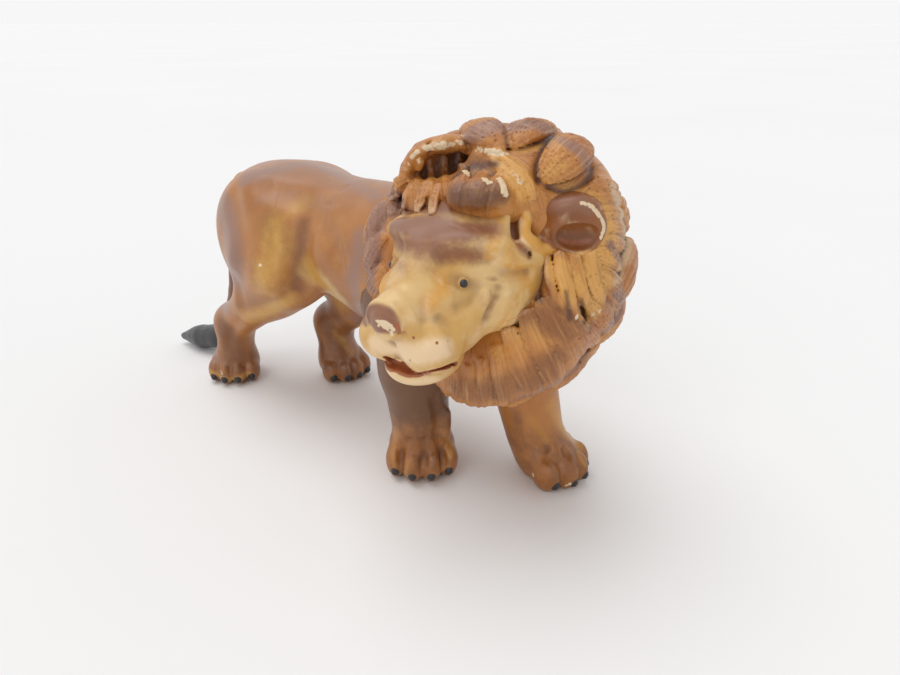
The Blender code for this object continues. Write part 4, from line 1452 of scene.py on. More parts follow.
@dataclass
class Head:
    """The face, with its ears' roots, and the lower jaw."""

    cell: float = 0.25
    lumps: tuple = (
        ((0, 0, 0), (13.5, 12.4, 12.6), 0), ((10, 0, 1.5), (9, 10, 7.5), 4),
        ((15, 0, -6), (9, 8.5, 7.5), 4))
    bridge: Rows = ((9, 0, 3, 5.5), (23.5, 0, -3.2, 4.0))
    pairs: tuple = (
        ((21, 4.2, -8), (5, 4.6, 4.4), 2), ((6, 8.2, -3.4), (7, 4.2, 6), 4),
        ((12, 6, 3.2), (3.4, 4.4, 2.8), 2.5))
    nose: tuple = ((24.3, 0, -3.4), (2.5, 4.1, 2.6), 0.8)
    chin: tuple = ((18, 0, -12.6), (7.0, 5.8, 3.6), 0.8)
    budget: int = 190000
    ear_middle: tuple = (-2.2, 14.8, 5.6)
    ear: tuple = (
        ((0, 0, 0), (5.3, 5.1, 4.2), 1.0, False), ((-0.6, 2.3, 1.6), (4.4, 2.7, 3.4), 1.0, False),
        ((0.4, 0.5, 5.6), (4.3, 1.6, 2.0), 0.6, True), ((0.2, -2.3, 4.0), (4.1, 2.3, 3.0), 0.4, True))
    mouth_depth: float = 1.5
    overlap: float = 0.3
    grain: tuple[float, float] = (0.6, 2.2)
    mouth_rows: Rows = ((386, 358, 2.2), (393, 364, 3.0), (402, 370, 2.8), (414, 374, 1.4), (428, 372, 0.9),
                        (440, 369.5, 1.6), (450, 366.5, 3.0), (457, 363.5, 1.6))
    beads: tuple = (
        (((446, 248, 10), (463, 243, 12), (480, 248, 9)), 0.4, 3.5),
        (((506, 207, 5), (502, 222, 6), (498, 244, 6), (487, 263, 5)), 1.0, 1.6),
        (((523, 208, 4.5), (526, 221, 5), (524, 234, 4.5), (532, 244, 5), (546, 251, 5)), 1.1, 1.4),
        (((536, 212, 5), (541, 228, 5), (547, 246, 5)), 0.9, 1.4),
        (((504, 247, 5), (517, 249, 6), (530, 244, 5)), 0.9, 1.6),
        (((508, 260, 5), (520, 264, 6), (538, 260, 5)), 0.6, 1.6),
        (((500, 290, 7), (488, 306, 8), (474, 322, 9)), 0.4, 2.0),
        (((446, 300, 9), (430, 312, 10), (418, 322, 9)), 0.35, 2.0),
        (((392, 306, 4), (398, 313, 4), (402, 322, 4), (401, 331, 3)), 0.5, 0.6))
    creases: tuple = (
        (((446, 261, 8), (462, 262, 10), (484, 266, 9)), 0.8, 3.0),
        (((456, 279, 6), (464, 283, 8), (473, 286, 6)), 0.9, 1.8),
        (((477, 281, 3), (488, 285, 3.5), (499, 288, 3)), 0.45, 1.0),
        (((500, 289, 4), (495, 302, 5), (487, 318, 4)), 0.55, 1.6),
        (((485, 274, 3), (495, 272, 4), (504, 276, 3)), 0.4, 1.2),
        (((518, 206, 4), (514, 220, 5), (516, 236, 4)), 1.2, 0.9),
        (((526, 251, 3.4), (529, 257, 3)), 0.7, 0.8),
        (((531, 229, 3.4), (533, 235, 3.4)), 0.6, 1.0),
        (((498, 270, 3), (512, 274, 4), (528, 272, 3)), 0.5, 1.6),
        (((404, 283, 4), (420, 300, 5), (424, 318, 4)), 0.3, 2.0),
        (((440, 318, 4), (452, 330, 5), (456, 346, 4)), 0.3, 2.0),
        (((458, 306, 4), (470, 300, 4), (478, 290, 3)), 0.3, 1.6),
        (((397, 324, 2), (400, 329, 2.8), (399, 334, 2)), 0.9, 0.3),
        (((404, 334, 3), (398, 341, 3), (390, 345, 2.5)), 0.4, 0.8))
    lids: tuple = ((((464, 284, 5.2), (464.5, 284.5, 5.2)), 0.1, 0.25),)
    dabs: tuple[Dab, ...] = (
        Dab(Paint.BLACK, ((463.6, 283.2, 4.2), (464.4, 284.8, 4.2)), 0.3),
        Dab(Paint.TAWNY, ((464, 283, 6), (466, 284, 6)), 1.8, 0.6),
        Dab(Paint.UMBER, ((430, 250, 10), (456, 248, 12), (480, 250, 9)), 2.6, 0.6),
        # Painted shadow under the brow ridge, in tawny and rust.
        Dab(Paint.TAWNY, ((442, 257, 9), (464, 257, 11), (486, 262, 8)), 2.0, 1.0),
        Dab(Paint.RUST, ((452, 258, 6), (466, 258, 8), (480, 260, 6)), 2.0, 0.42),
        Dab(Paint.TAWNY, ((452, 274, 6), (462, 272, 7), (476, 276, 6)), 2.0, 0.6),
        Dab(Paint.TAWNY, ((436, 268, 9), (440, 284, 10), (434, 298, 8)), 2.6, 0.5),
        Dab(Paint.OCHRE, ((444, 272, 10), (442, 288, 12), (430, 304, 12)), 2.4, 0.85),
        Dab(Paint.TAWNY, ((500, 289, 4), (495, 302, 5), (487, 316, 4)), 1.6, 0.95),
        Dab(Paint.TAWNY, ((478, 282, 3), (492, 280, 5), (503, 282, 4)), 1.8, 0.7),
        Dab(Paint.SHADE, ((500, 290, 2), (495, 302, 2.4), (489, 314, 2)), 1.4, 0.5),
        Dab(Paint.TAWNY, ((484, 300, 9), (492, 296, 9)), 1.9, 0.45),
        Dab(Paint.RUST, ((386, 358, 3), (392, 363, 4), (402, 369, 4), (414, 374, 2.6)), 1.4, 0.8),
        Dab(Paint.RUST, ((438, 370, 2), (448, 368, 3.4), (457, 364, 2.4)), 1.4, 0.8),
        Dab(Paint.RUST, ((387, 361, 3), (392, 366, 4), (402, 373, 4), (414, 376, 3), (430, 374, 2.4)),
            1.4, 0.7))
    ear_dabs: tuple[Dab, ...] = (
        Dab(Paint.UMBER, ((392, 206, 14), (420, 204, 20), (455, 202, 20), (496, 204, 16)), 1.2, 1.0),
        Dab(Paint.UMBER, ((394, 222, 14), (420, 226, 22), (455, 230, 20), (488, 230, 14)), 1.9, 1.0),
        Dab(Paint.SHADE, ((404, 206, 8), (430, 208, 9), (470, 216, 8), (500, 214, 7)), 1.8, 0.55),
        Dab(Paint.UMBER, ((400, 242, 14), (424, 246, 18), (444, 246, 14)), 2.4, 0.85),
        Dab(Paint.UMBER, ((392, 262, 12), (410, 266, 14), (428, 266, 12)), 2.8, 0.5),
        Dab(Paint.TAWNY, ((476, 210, 10), (500, 206, 9)), 1.6, 0.8),
        Dab(Paint.TAWNY, ((512, 205, 8), (530, 200, 10), (548, 205, 8)), 1.6, 0.9),
        Dab(Paint.SHADE, ((518, 208, 4), (514, 221, 5), (516, 236, 4)), 1.9, 0.85),
        Dab(Paint.SHADE, ((526, 251, 3), (529, 257, 3)), 1.9, 0.6),
        Dab(Paint.RUST, ((531, 229, 3), (533, 235, 3)), 1.9, 0.45),
        Dab(Paint.TAWNY, ((515, 210, 7), (514, 224, 8), (517, 242, 7), (528, 254, 6)), 2.0, 0.9),
        Dab(Paint.PALE, ((521, 214, 3), (520, 228, 3), (523, 238, 4), (532, 244, 4)), 1.9, 0.7),
        Dab(Paint.PALE, ((534, 214, 3), (537, 226, 3)), 1.9, 0.6),
        Dab(Paint.UMBER, ((368, 313, 9), (380, 311, 8), (391, 317, 8), (393, 327, 8), (372, 325, 10)),
            1.2, 0.9),
        Dab(Paint.UMBER, ((366, 311, 3), (364, 318, 3.5), (366, 325, 3)), 1.2, 0.9),
        Dab(Paint.TAWNY, ((364, 318, 9), (378, 320, 9), (392, 325, 8)), 1.4, 0.7),
        Dab(Paint.CREAM, ((378, 324, 4), (388, 328, 5)), 1.9, 0.62),
        Dab(Paint.RUST, ((397, 326, 4), (399, 332, 3.4)), 1.2, 0.75),
        Dab(Paint.OCHRE, ((503, 208, 6), (498, 230, 7), (490, 256, 7)), 2.4, 0.85),
        Dab(Paint.OCHRE, ((524, 212, 5), (529, 222, 5), (526, 232, 5), (534, 243, 6), (546, 251, 7)),
            1.4, 1.0),
        Dab(Paint.OCHRE, ((510, 250, 12), (520, 275, 14), (535, 290, 12)), 1.9, 0.75),
        Dab(Paint.OCHRE, ((448, 290, 10), (440, 310, 12), (470, 330, 14)), 2.0, 0.45),
        Dab(Paint.OCHRE, ((400, 236, 9), (394, 256, 9), (389, 270, 8)), 2.0, 0.35),
        Dab(Paint.PALE, ((376, 344, 10), (402, 352, 13), (424, 354, 13), (448, 346, 11)), 1.9, 1.0),
        Dab(Paint.PALE, ((382, 370, 8), (404, 382, 9), (434, 381, 8)), 1.8, 0.75),
        Dab(Paint.PALE, ((372, 296, 9), (388, 284, 9), (400, 274, 8)), 2.0, 0.5),
        Dab(Paint.PALE, ((408, 318, 10), (425, 312, 11)), 2.0, 0.5),
        Dab(Paint.PALE, ((484, 320, 8), (474, 340, 9)), 2.0, 0.5),
        Dab(Paint.OCHRE, ((430, 330, 9), (455, 335, 9)), 2.0, 0.35),
        Dab(Paint.OCHRE, ((515, 300, 10), (505, 320, 9), (480, 352, 8)), 2.0, 0.6),
        Dab(Paint.TAWNY, ((574, 222, 38),), 0.2, 1.0),
        Dab(Paint.CREAM, ((376, 321, 2), (386, 323, 2.4), (393, 329, 2.6), (391, 335, 1.8)), 1.6, 0.8),
        Dab(Paint.RUST, ((413.5, 337.6, 1.8),), 0.9, 0.9),
        Dab(Paint.RUST, ((437, 343, 1.8),), 0.9, 0.9),
        Dab(Paint.UMBER, ((410, 360.6, 1.6),), 0.9, 0.7),
        Dab(Paint.UMBER, ((448, 340.7, 1.5),), 0.9, 0.7),
        Dab(Paint.UMBER, ((424, 356, 1.2),), 0.9, 0.4),
        Dab(Paint.UMBER, ((427, 328, 1.4),), 0.9, 0.4),
        Dab(Paint.RUST, ((471, 286, 2.0),), 1.2, 0.45),
        Dab(Paint.UMBER, ((550, 206, 9), (566, 201, 10), (582, 204, 9), (590, 210, 7)), 1.2, 1.0),
        # Painted shade in the ear's hollow: shade dabs with rust.
        Dab(Paint.SHADE, ((558, 238, 9), (574, 242, 10), (590, 238, 8)), 1.6, 0.72),
        Dab(Paint.RUST, ((560, 240, 6), (574, 244, 7), (588, 240, 6)), 2.0, 0.5),
        Dab(Paint.SHADE, ((554, 213, 5), (574, 216, 6), (592, 220, 5)), 1.9, 0.4),
        Dab(Paint.OCHRE, ((552, 251, 3), (572, 255, 3), (592, 252, 3)), 1.4, 0.9),
        Dab(Paint.CREAM, ((582, 203, 2.4), (591, 206, 3.0), (600, 216, 3.2), (604, 227, 3.0), (601, 238, 2)),
            1.6, 0.8))

    def forms(self) -> list[Step]:
        """Shape the steps of the bare head.

        Returns:
            The steps of the bare head.
        """
        steps = [Step(Ball(centre, radii, place=HEAD), blend) for centre, radii, blend in self.lumps]
        steps.append(Step(Limb(self.bridge, HEAD, 1.0), 3))
        for (ahead, left, up), radii, blend in self.pairs:
            for side in (-1, 1):
                steps.append(Step(Ball((ahead, side * left, up), radii, place=HEAD), blend))
        centre, radii, blend = self.nose
        return steps + [Step(Ball(centre, radii, place=HEAD), blend)]

    def jaw(self) -> list[Step]:
        """Return the steps of the lower jaw."""
        centre, radii, blend = self.chin
        return [Step(Ball(centre, radii, place=HEAD), blend)]

    def build(self, shift: Array) -> None:
        """Shape and paint the head and the jaw.

        Args:
            shift: from the sculptor's frame to the part's, in millimetres.
        """
        head, jaw = self.forms(), self.jaw()
        bare = Clay(head + jaw, self.cell)
        fine = [Step(Ball(centre, radii, place=ear), blend, cut)
                for ear in (self.ear_place(), self.far_ear_place()) for centre, radii, blend, cut in self.ear]
        for rows, height, blend in self.beads:
            fine += mirrored(Step(bead(bare, rows, height), blend))
        for rows, depth, blend in self.creases:
            fine += mirrored(crease(bare, rows, depth, blend))
        slit = mirrored(Step(self.mouth(bare), 0.25, cut=True))
        fine += slit
        for rows, height, blend in self.lids:
            fine += mirrored(Step(bead(bare, rows, height, 8), blend))
        whole = Clay(head + jaw + fine, self.cell)
        rest = head + [step for step in fine if not step.cut]
        fields = {name: Clay(steps, self.cell, whole).field
                  for name, steps in (("head", rest), ("lower_jaw", jaw))}
        face = HandPaint("face_paint", ((0.63, 0.355, 0.09), (0.76, 0.51, 0.22)), umber=(0.27, 0.11, 0.056),
                         tawny=(0.27, 0.088, 0.02), ochre=(0.68, 0.34, 0.06), pale=(0.86, 0.62, 0.37),
                         wash_and_shade=(0.17, 0.052, 0.012), wash_and_shade_share=0.6, wear_share=0.3, speck_share=0.0,
                         mottle=0.5).material()
        landed = land_dabs(bare, self.dabs, HEAD, 1) + land_dabs(whole, self.ear_dabs)
        for name, slot in (("head", "face_paint"), ("lower_jaw", "jaw_paint")):
            others = fields["lower_jaw" if name == "head" else "head"]
            part = Clay([], self.cell, whole)
            part.field = np.maximum(whole.field, (fields[name] - others) / 2 - self.overlap)
            skin = Skin(part, self.budget)
            skin.wear(whole, *self.grain)
            skin.dab(landed)
            for step in slit:
                inside = smooth(1.2 - step.shape.distance(skin.points) / 0.3)
                skin.lay(Paint.SHADE, 0.3 * inside)
                skin.lay(Paint.RUST, 0.8 * inside)
            skin.piece(f"lion_{name}", name, face, shift)

    def ear_place(self) -> Place:
        """Return the left ear's frame: right, up and towards the camera."""
        right, up, forward = VIEW.axes()
        return Place(HEAD.point(self.ear_middle), np.stack([right, up, -forward], 1))

    def far_ear_place(self) -> Place:
        """Place the right ear, in the head's mirror.

        Returns:
            Its frame.
        """
        ear = self.ear_place()
        local = HEAD.local(ear.origin) * (1, -1, 1)
        axes = (HEAD.axes.T @ ear.axes) * np.array([[1], [-1], [1]])
        return Place(HEAD.point(local), HEAD.axes @ axes)

    def ear_room(self) -> list[Step]:
        """Shape the steps that clear the ear's hollow of mane.

        Returns:
            The steps that clear the ear's hollow of mane.
        """
        ear = self.ear_place()
        hollows = [(centre, radii) for centre, radii, _, cut in self.ear if cut]
        return [Step(Ball(centre, tuple(half + 0.5 for half in radii), place=ear), 0.2, True)
                for centre, radii in hollows]

    def mouth(self, form: Clay) -> Lock:
        """Draw the slit of the mouth, deep and thin.

        Args:
            form: the bare head and jaw.

        Returns:
            The slit.
        """
        line = curve(self.mouth_rows, 14)
        points = VIEW.land(form, line)
        thick = line[:, 2] * VIEW.scale(points)
        sizes = np.column_stack([np.full(len(line), self.mouth_depth), thick])
        return Lock(points, np.tile(HEAD.axes[:, 2], (len(line), 1)), sizes, 0, 0.0)


@dataclass
class Mane:
    """The mane: a collar of locks round the neck and head."""

    cell: float = 0.3
    budget: int = 190000
    lumps: tuple = (
        ((-5, 0.8, -1), (9.6, 19.6, 19), 0), ((-13, -1.6, -3), (11.5, 19.2, 18.5), 6),
        ((2.5, -1, -18.4), (8.5, 12.4, 10.2), 4), ((-8, -14, -3), (10, 9.5, 12), 5),
        ((2.5, -14.8, -4.5), (8, 8.8, 12.8), 3), ((0.5, 12.8, -10), (7.5, 6.2, 10), 3),
        ((3, 8.5, -15.5), (7, 7.5, 8), 3), ((-7, 9, -8), (9, 10.8, 11), 3), ((-8, 8, 6), (9, 10.2, 10.6), 3),
        ((-4, 1.5, 9.5), (9.5, 10.5, 8.0), 4), ((5, 1.5, 9.4), (5.0, 7.5, 3.8), 2),
        ((4.6, -6.5, 8.8), (5.4, 5.6, 3.6), 1.5))
    blend: float = 0.35
    crease_blend: float = 0.8
    coarse_cell: float = 0.45
    grain: tuple[float, float] = (0.7, 2.4)
    comb_reach: float = 3.0
    comb_margin: float = 1.5
    shell: float = 42.0
    middle: tuple = (-6, 0, -3)
    rings: tuple = ((70, 15), (94, 14), (118, 12), (142, 8), (164, 4))
    sweep: float = 34.0
    stray: float = 0.2
    far_locks: tuple = ((50, 206, 62, 226), (47, 230, 62, 248))
    face_way: tuple = (0.77, 0.54, 0.34)
    face_limit: float = 0.2
    crest_fill: Rows = ((2.8, -12.2, 10.2, 2.6), (1.2, -9.4, 12.2, 3.2), (-1.4, -5.0, 13.4, 3.4),
                        (-3.5, -0.5, 13.8, 3.6), (-3.5, 4, 13.5, 3.0))
    crest: Rows = ((404, 186, -12.5, 1.2), (408, 168, -11.5, 1.3), (414, 157, -10.5, 1.2),
                   (421, 151, -9.6, 1.5), (433, 145, -8, 1.3), (446, 144, -6.5, 1.6),
                   (461, 143, -4.5, 1.3), (476, 149, -2.6, 1.5),
                   (492, 152, -0.8, 1.3), (507, 153, 1, 1.2))
    hollow: Rows = ((424, 172, -9, 1.6), (438, 165, -7, 2.1), (456, 160, -5, 2.5), (474, 159, -3, 2.6),
                    (492, 161, -1, 2.2))
    locks: tuple = (
        (((507, 147, 7), (498, 141, 14), (486, 135, 18), (474, 132, 15)), 8, 0.7, 0.45),
        (((510, 147, 7), (519, 141, 14), (532, 135, 19), (545, 131, 14)), 9, 0.7, 0.45),
        (((541, 180, 9), (550, 173, 17), (561, 164, 23), (571, 155, 22), (580, 149, 14)), 12, 0.8, 0.45),
        (((422, 202, 4), (418, 184, 5), (418, 166, 4)), 3, 0.1, 0.3),
        (((434, 202, 4), (431, 184, 5), (430, 162, 4)), 3, 0.1, 0.3),
        (((447, 196, 4), (445, 178, 5), (445, 158, 4)), 3, 0.1, 0.3),
        (((463, 174, 3), (461, 166, 3), (460, 156, 2)), 3, 0.0, 0.3),
        (((413, 182, 4), (407, 196, 7), (404, 211, 5)), 3, 0.3, 0.4),
        (((425, 184, 4), (421, 198, 7), (418, 212, 5)), 3, 0.3, 0.4),
        (((438, 186, 4), (435, 200, 7), (433, 213, 5)), 3, 0.3, 0.4),
        (((400, 188, 4), (394, 201, 7), (391, 214, 5)), 3, 0.3, 0.4),
        (((456, 202, 9), (458, 192, 12), (462, 180, 10), (466, 170, 5)), 5, 0.7, 0.3),
        (((474, 204, 10), (477, 194, 13), (481, 184, 10), (485, 176, 5)), 6, 0.9, 0.3),
        (((492, 203, 9), (495, 194, 12), (498, 185, 10), (500, 176, 5)), 5, 0.7, 0.3),
        (((505, 200, 7), (508, 190, 8), (506, 177, 5)), 4, 0.4, 0.3),
        (((504, 158, 4), (516, 168, 6), (528, 182, 7), (534, 198, 5)), 4, 0.3, 0.4),
        (((492, 160, 4), (504, 172, 6), (516, 186, 7), (522, 202, 5)), 4, 0.3, 0.4),
        (((583, 188, 5), (596, 184, 9), (608, 184, 8), (616, 187, 5)), 4, 0.2, 0.4),
        (((586, 198, 6), (602, 195, 9), (614, 197, 8), (622, 200, 5)), 4, 0.2, 0.4),
        (((592, 212, 6), (608, 211, 9), (622, 214, 5)), 4, 0.2, 0.4),
        (((596, 226, 6), (612, 226, 9), (625, 229, 5)), 4, 0.2, 0.4),
        (((598, 240, 6), (612, 242, 9), (626, 247, 5)), 4, 0.2, 0.4),
        (((594, 252, 7), (608, 256, 10), (618, 264, 7), (621, 270, 4)), 5, 0.2, 0.4),
        (((590, 268, 8), (605, 279, 12), (617, 291, 12), (622, 304, 9), (619, 315, 6)), 7, 0.1, 0.4),
        (((582, 298, 8), (598, 313, 12), (608, 326, 10), (605, 337, 7)), 7, 0.0, 0.4),
        (((570, 318, 9), (586, 333, 12), (596, 343, 9)), 6, -0.1, 0.35),
        (((556, 298, 10), (572, 323, 16), (584, 342, 13), (582, 353, 8)), 6, -0.35, 0.25),
        (((542, 302, 10), (558, 333, 17), (571, 357, 13), (571, 367, 8)), 5, -0.35, 0.22),
        (((526, 314, 10), (541, 348, 17), (554, 376, 14), (554, 386, 9)), 5, -0.35, 0.22),
        (((510, 332, 10), (521, 363, 16), (531, 386, 12), (531, 394, 8)), 4, -0.3, 0.22),
        (((496, 347, 9), (502, 376, 13), (506, 397, 10), (504, 404, 8)), 4, -0.2, 0.25),
        (((482, 360, 7), (484, 385, 9), (485, 404, 7)), 3, -0.1, 0.35),
        (((468, 366, 6), (469, 388, 8), (470, 405, 6)), 3, 0.0, 0.35),
        (((456, 371, 5), (456, 391, 7), (458, 406, 6)), 3, 0.0, 0.35),
        (((445, 376, 5), (445, 388, 6), (446, 396, 4)), 2, 0.0, 0.35),
        (((547, 256, 4), (549, 278, 6), (554, 297, 4)), 2, 0.3, 0.15),
        (((560, 252, 7), (563, 278, 9), (569, 302, 8), (576, 319, 3.5)), 3, 0.8, 0.2),
        (((574, 254, 6), (578, 282, 8), (584, 300, 7), (592, 317, 3.5)), 3, 0.55, 0.2),
        (((590, 250, 7), (594, 278, 9), (600, 298, 7), (601, 313, 3.5)), 3, 0.35, 0.2))
    side_locks: tuple = (
        (((388, 202, 7), (377, 216, 12), (370, 236, 12), (370, 250, 8)), 6, 0.1, 0.4),
        (((384, 236, 8), (374, 250, 12), (369, 264, 10), (372, 272, 7)), 6, 0.2, 0.4),
        (((384, 268, 8), (376, 280, 11), (370, 292, 9), (372, 302, 6)), 6, 0.1, 0.4),
        (((406, 178, 4), (396, 184, 7), (388, 189, 4)), 3, 0.3, 0.35),
        (((398, 196, 4), (388, 206, 7), (382, 216, 4)), 3, 0.3, 0.3))
    beads: tuple = (
        (((484, 146, 4), (472, 142, 4), (461, 139, 2)), 1.2, 0.8),
        (((408, 168, 4), (411, 160, 5)), 0.9, 1.0), (((416, 154, 5), (424, 149, 5.4)), 1.0, 1.0),
        (((435, 146, 5), (444, 144, 6)), 0.8, 1.0), (((489, 152, 4), (498, 153, 4.6)), 0.7, 1.0),
        (((417, 166, 3), (420, 160, 4)), 1.1, 0.8),
        (((464, 199, 13), (480, 196, 14), (496, 198, 12)), 1.0, 2.0))
    creases: tuple = (
        (((541, 256, 4), (540, 280, 4.4), (539, 301, 3)), 1.6),
        (((555, 256, 2), (558, 275, 2.4), (560, 292, 2)), 1.0),
        (((568, 298, 3), (569, 310, 3), (571, 320, 2)), 1.0),
        (((583, 306, 3), (584, 316, 3), (586, 324, 2)), 1.0),
        (((504, 120, 2), (505, 134, 2.4), (508, 146, 3)), 0.8),
        (((557, 134, 2), (544, 149, 3), (537, 166, 3), (539, 180, 3)), 0.4),
        (((593, 166, 2), (590, 177, 3), (578, 187, 3), (562, 192, 3), (548, 187, 2.4)), 0.3),
        (((429, 143, 2), (430, 153, 2)), 0.6), (((467, 142, 2), (468, 152, 2)), 0.6))
    dabs: tuple[Dab, ...] = (
        Dab(Paint.OCHRE, ((574, 200, 20), (600, 228, 26), (600, 268, 24), (590, 308, 18)), 1.2, 0.9),
        Dab(Paint.OCHRE, ((556, 268, 14), (574, 290, 18)), 1.2, 1.0),
        Dab(Paint.PALE, ((614, 188, 9), (622, 215, 9), (625, 248, 9), (616, 280, 8)), 1.4, 0.8),
        Dab(Paint.TAWNY, ((458, 390, 18), (490, 392, 20), (530, 380, 20), (560, 355, 16)), 1.4, 0.8),
        Dab(Paint.OCHRE, ((500, 345, 16), (525, 330, 16)), 1.6, 0.5),
        # The purple-grey umber on the top locks is partly their purple-brown paint and partly a painted
        # sheen.
        Dab(Paint.UMBER, ((472, 132, 12), (488, 126, 13), (502, 124, 8)), 1.6, 1.0),
        Dab(Paint.UMBER, ((510, 126, 9), (532, 124, 11), (552, 129, 8)), 1.6, 0.9),
        Dab(Paint.OCHRE, ((556, 138, 4), (540, 147, 5), (518, 149, 5)), 1.4, 0.9),
        Dab(Paint.UMBER, ((563, 140, 8), (580, 151, 9), (588, 168, 7)), 1.6, 0.85),
        Dab(Paint.OCHRE, ((546, 178, 9), (558, 166, 10)), 1.6, 0.6),
        Dab(Paint.UMBER, ((610, 244, 6), (622, 262, 5)), 1.4, 0.8),
        Dab(Paint.UMBER, ((618, 292, 8), (622, 305, 8), (606, 332, 9)), 1.4, 0.9),
        Dab(Paint.UMBER, ((590, 348, 8), (568, 374, 7), (545, 390, 7), (515, 400, 7)), 1.6, 0.7),
        Dab(Paint.UMBER, ((378, 210, 14), (370, 245, 14), (368, 285, 12)), 1.2, 1.0),
        Dab(Paint.UMBER, ((390, 190, 9), (402, 204, 10), (386, 212, 9)), 1.2, 0.9),
        # Painted shade in the hollow under the crest, above the forelock: tawny with shade dabs.
        Dab(Paint.TAWNY, ((424, 176, 10), (440, 168, 13), (460, 164, 13), (482, 164, 10)), 1.6, 0.9),
        Dab(Paint.SHADE, ((440, 176, 6), (458, 170, 6)), 1.9, 0.5),
        Dab(Paint.SHADE, ((452, 178, 5), (470, 167, 6), (496, 164, 5)), 1.9, 0.75),
        Dab(Paint.TAWNY, ((456, 192, 16), (478, 192, 18), (500, 190, 14)), 1.4, 1.0),
        Dab(Paint.SHADE, ((456, 194, 14), (478, 196, 16), (500, 196, 12)), 2.0, 0.62),
        Dab(Paint.OCHRE, ((470, 184, 4), (478, 192, 5), (490, 190, 4)), 1.9, 0.5),
        Dab(Paint.TAWNY, ((520, 318, 14), (545, 318, 16), (566, 334, 14)), 2.0, 0.9),
        Dab(Paint.PALE, ((506, 158, 8), (520, 176, 10), (530, 196, 9)), 1.9, 0.6),
        Dab(Paint.SHADE, ((541, 258, 5), (540, 280, 5), (540, 300, 5)), 2.0, 0.8),
        Dab(Paint.SHADE, ((504, 122, 2), (505, 136, 2.4), (508, 147, 3)), 2.0, 0.65),
        Dab(Paint.SHADE, ((557, 136, 2), (543, 150, 2.6), (537, 166, 3), (540, 181, 3)), 2.0, 0.65),
        Dab(Paint.SHADE, ((593, 168, 2), (590, 177, 3), (578, 187, 3), (562, 192, 3), (548, 188, 2.4)),
            2.0, 0.65),
        Dab(Paint.SHADE, ((566, 292, 3), (570, 318, 4)), 2.0, 0.7),
        Dab(Paint.SHADE, ((581, 300, 3), (585, 322, 4)), 2.0, 0.7),
        Dab(Paint.TAWNY, ((548, 262, 7), (548, 296, 8), (566, 318, 9), (590, 326, 9)), 1.9, 0.8),
        Dab(Paint.OCHRE, ((498, 158, 10), (514, 172, 13), (526, 192, 12)), 1.2, 1.0),
        Dab(Paint.CREAM, ((502, 162, 6), (514, 172, 8), (522, 188, 6)), 1.9, 0.4),
        Dab(Paint.CREAM, ((408, 165, 3),), 1.9, 0.75),
        Dab(Paint.CREAM, ((412, 157, 4), (417, 152, 4)), 1.9, 0.72),
        Dab(Paint.CREAM, ((426, 148, 5), (440, 146, 6), (452, 145, 4)), 1.9, 0.7),
        Dab(Paint.CREAM, ((456, 142, 3), (464, 143, 3)), 1.9, 0.62),
        Dab(Paint.CREAM, ((478, 149, 4), (492, 152, 5), (506, 154, 4)), 1.9, 0.68),
        Dab(Paint.CREAM, ((419, 161, 3),), 1.9, 0.75),
        Dab(Paint.CREAM, ((465, 170, 4), (468, 174, 4)), 1.4, 0.85),
        Dab(Paint.CREAM, ((485, 179, 4.4), (489, 182, 4)), 1.4, 0.85),
        Dab(Paint.CREAM, ((500, 179, 4.4), (503, 184, 5), (506, 195, 4)), 1.6, 0.8),
        Dab(Paint.CREAM, ((577, 317, 2.6),), 1.0, 0.9),
        Dab(Paint.CREAM, ((593, 315, 2.6),), 1.0, 0.9),
        Dab(Paint.CREAM, ((600, 311, 2.4),), 1.0, 0.8),
        Dab(Paint.CREAM, ((366, 206, 1.5), (362, 222, 1.6), (359, 240, 1.5)), 1.2, 0.6),
        Dab(Paint.BLACK, ((518, 333, 1.5),), 0.9, 0.8),
        Dab(Paint.BLACK, ((579, 339, 1.4),), 0.9, 0.8))

    def forms(self) -> list[Step]:
        """Return the steps of the bare mane."""
        return [Step(Ball(centre, radii, place=HEAD), blend) for centre, radii, blend in self.lumps]

    def build(self, shift: Array) -> None:
        """Shape and paint the mane.

        Args:
            shift: from the sculptor's frame to the part's, in millimetres.
        """
        form = self.forms()
        crest = VIEW.across(tuple(row[:3] for row in self.crest), HEAD, 1)
        hollow = VIEW.across(tuple(row[:3] for row in self.hollow), HEAD, 1)
        form.append(Step(Limb(self.crest_fill, HEAD, 2.0), 2.5))
        form.append(Step(Limb(np.column_stack([hollow, [row[3] for row in self.hollow]])), 1.2, cut=True))
        form.append(Step(Limb(np.column_stack([crest, [row[3] for row in self.crest]])), 1.0))
        head = Head()
        base = Clay(form, self.coarse_cell)
        ground = Clay(form + head.forms(), self.coarse_cell)
        locks = self.back_locks(base)
        for under, table in ((ground, self.locks), (base, self.side_locks)):
            for rows, strands, lift, score in table:
                locks.append(lock(under, rows, lift, strands, score, 0.37 * len(locks)))
        steps = form + [Step(one, self.blend) for one in locks]
        steps += [Step(bead(ground, rows, height), blend) for rows, height, blend in self.beads]
        steps += [crease(ground, rows, depth, self.crease_blend) for rows, depth in self.creases]
        steps += head.ear_room()
        clay = Clay(steps, self.cell)
        skin = Skin(clay, self.budget)
        skin.wear(clay, *self.grain)
        self.comb(skin, locks)
        skin.dab(land_dabs(clay, self.dabs))
        # The mane's purple-grey umber is partly its paint and partly a painted sheen on the top locks.
        paint = HandPaint("mane_paint", ((0.44, 0.155, 0.032), (0.57, 0.24, 0.052)),
                          umber=(0.34, 0.17, 0.112), ochre=(0.68, 0.34, 0.08), pale=(0.66, 0.44, 0.25),
                          wash_and_shade_share=0.95, wear_share=0.4, strands=True).material()
        skin.piece("lion_mane", "mane", paint, shift)

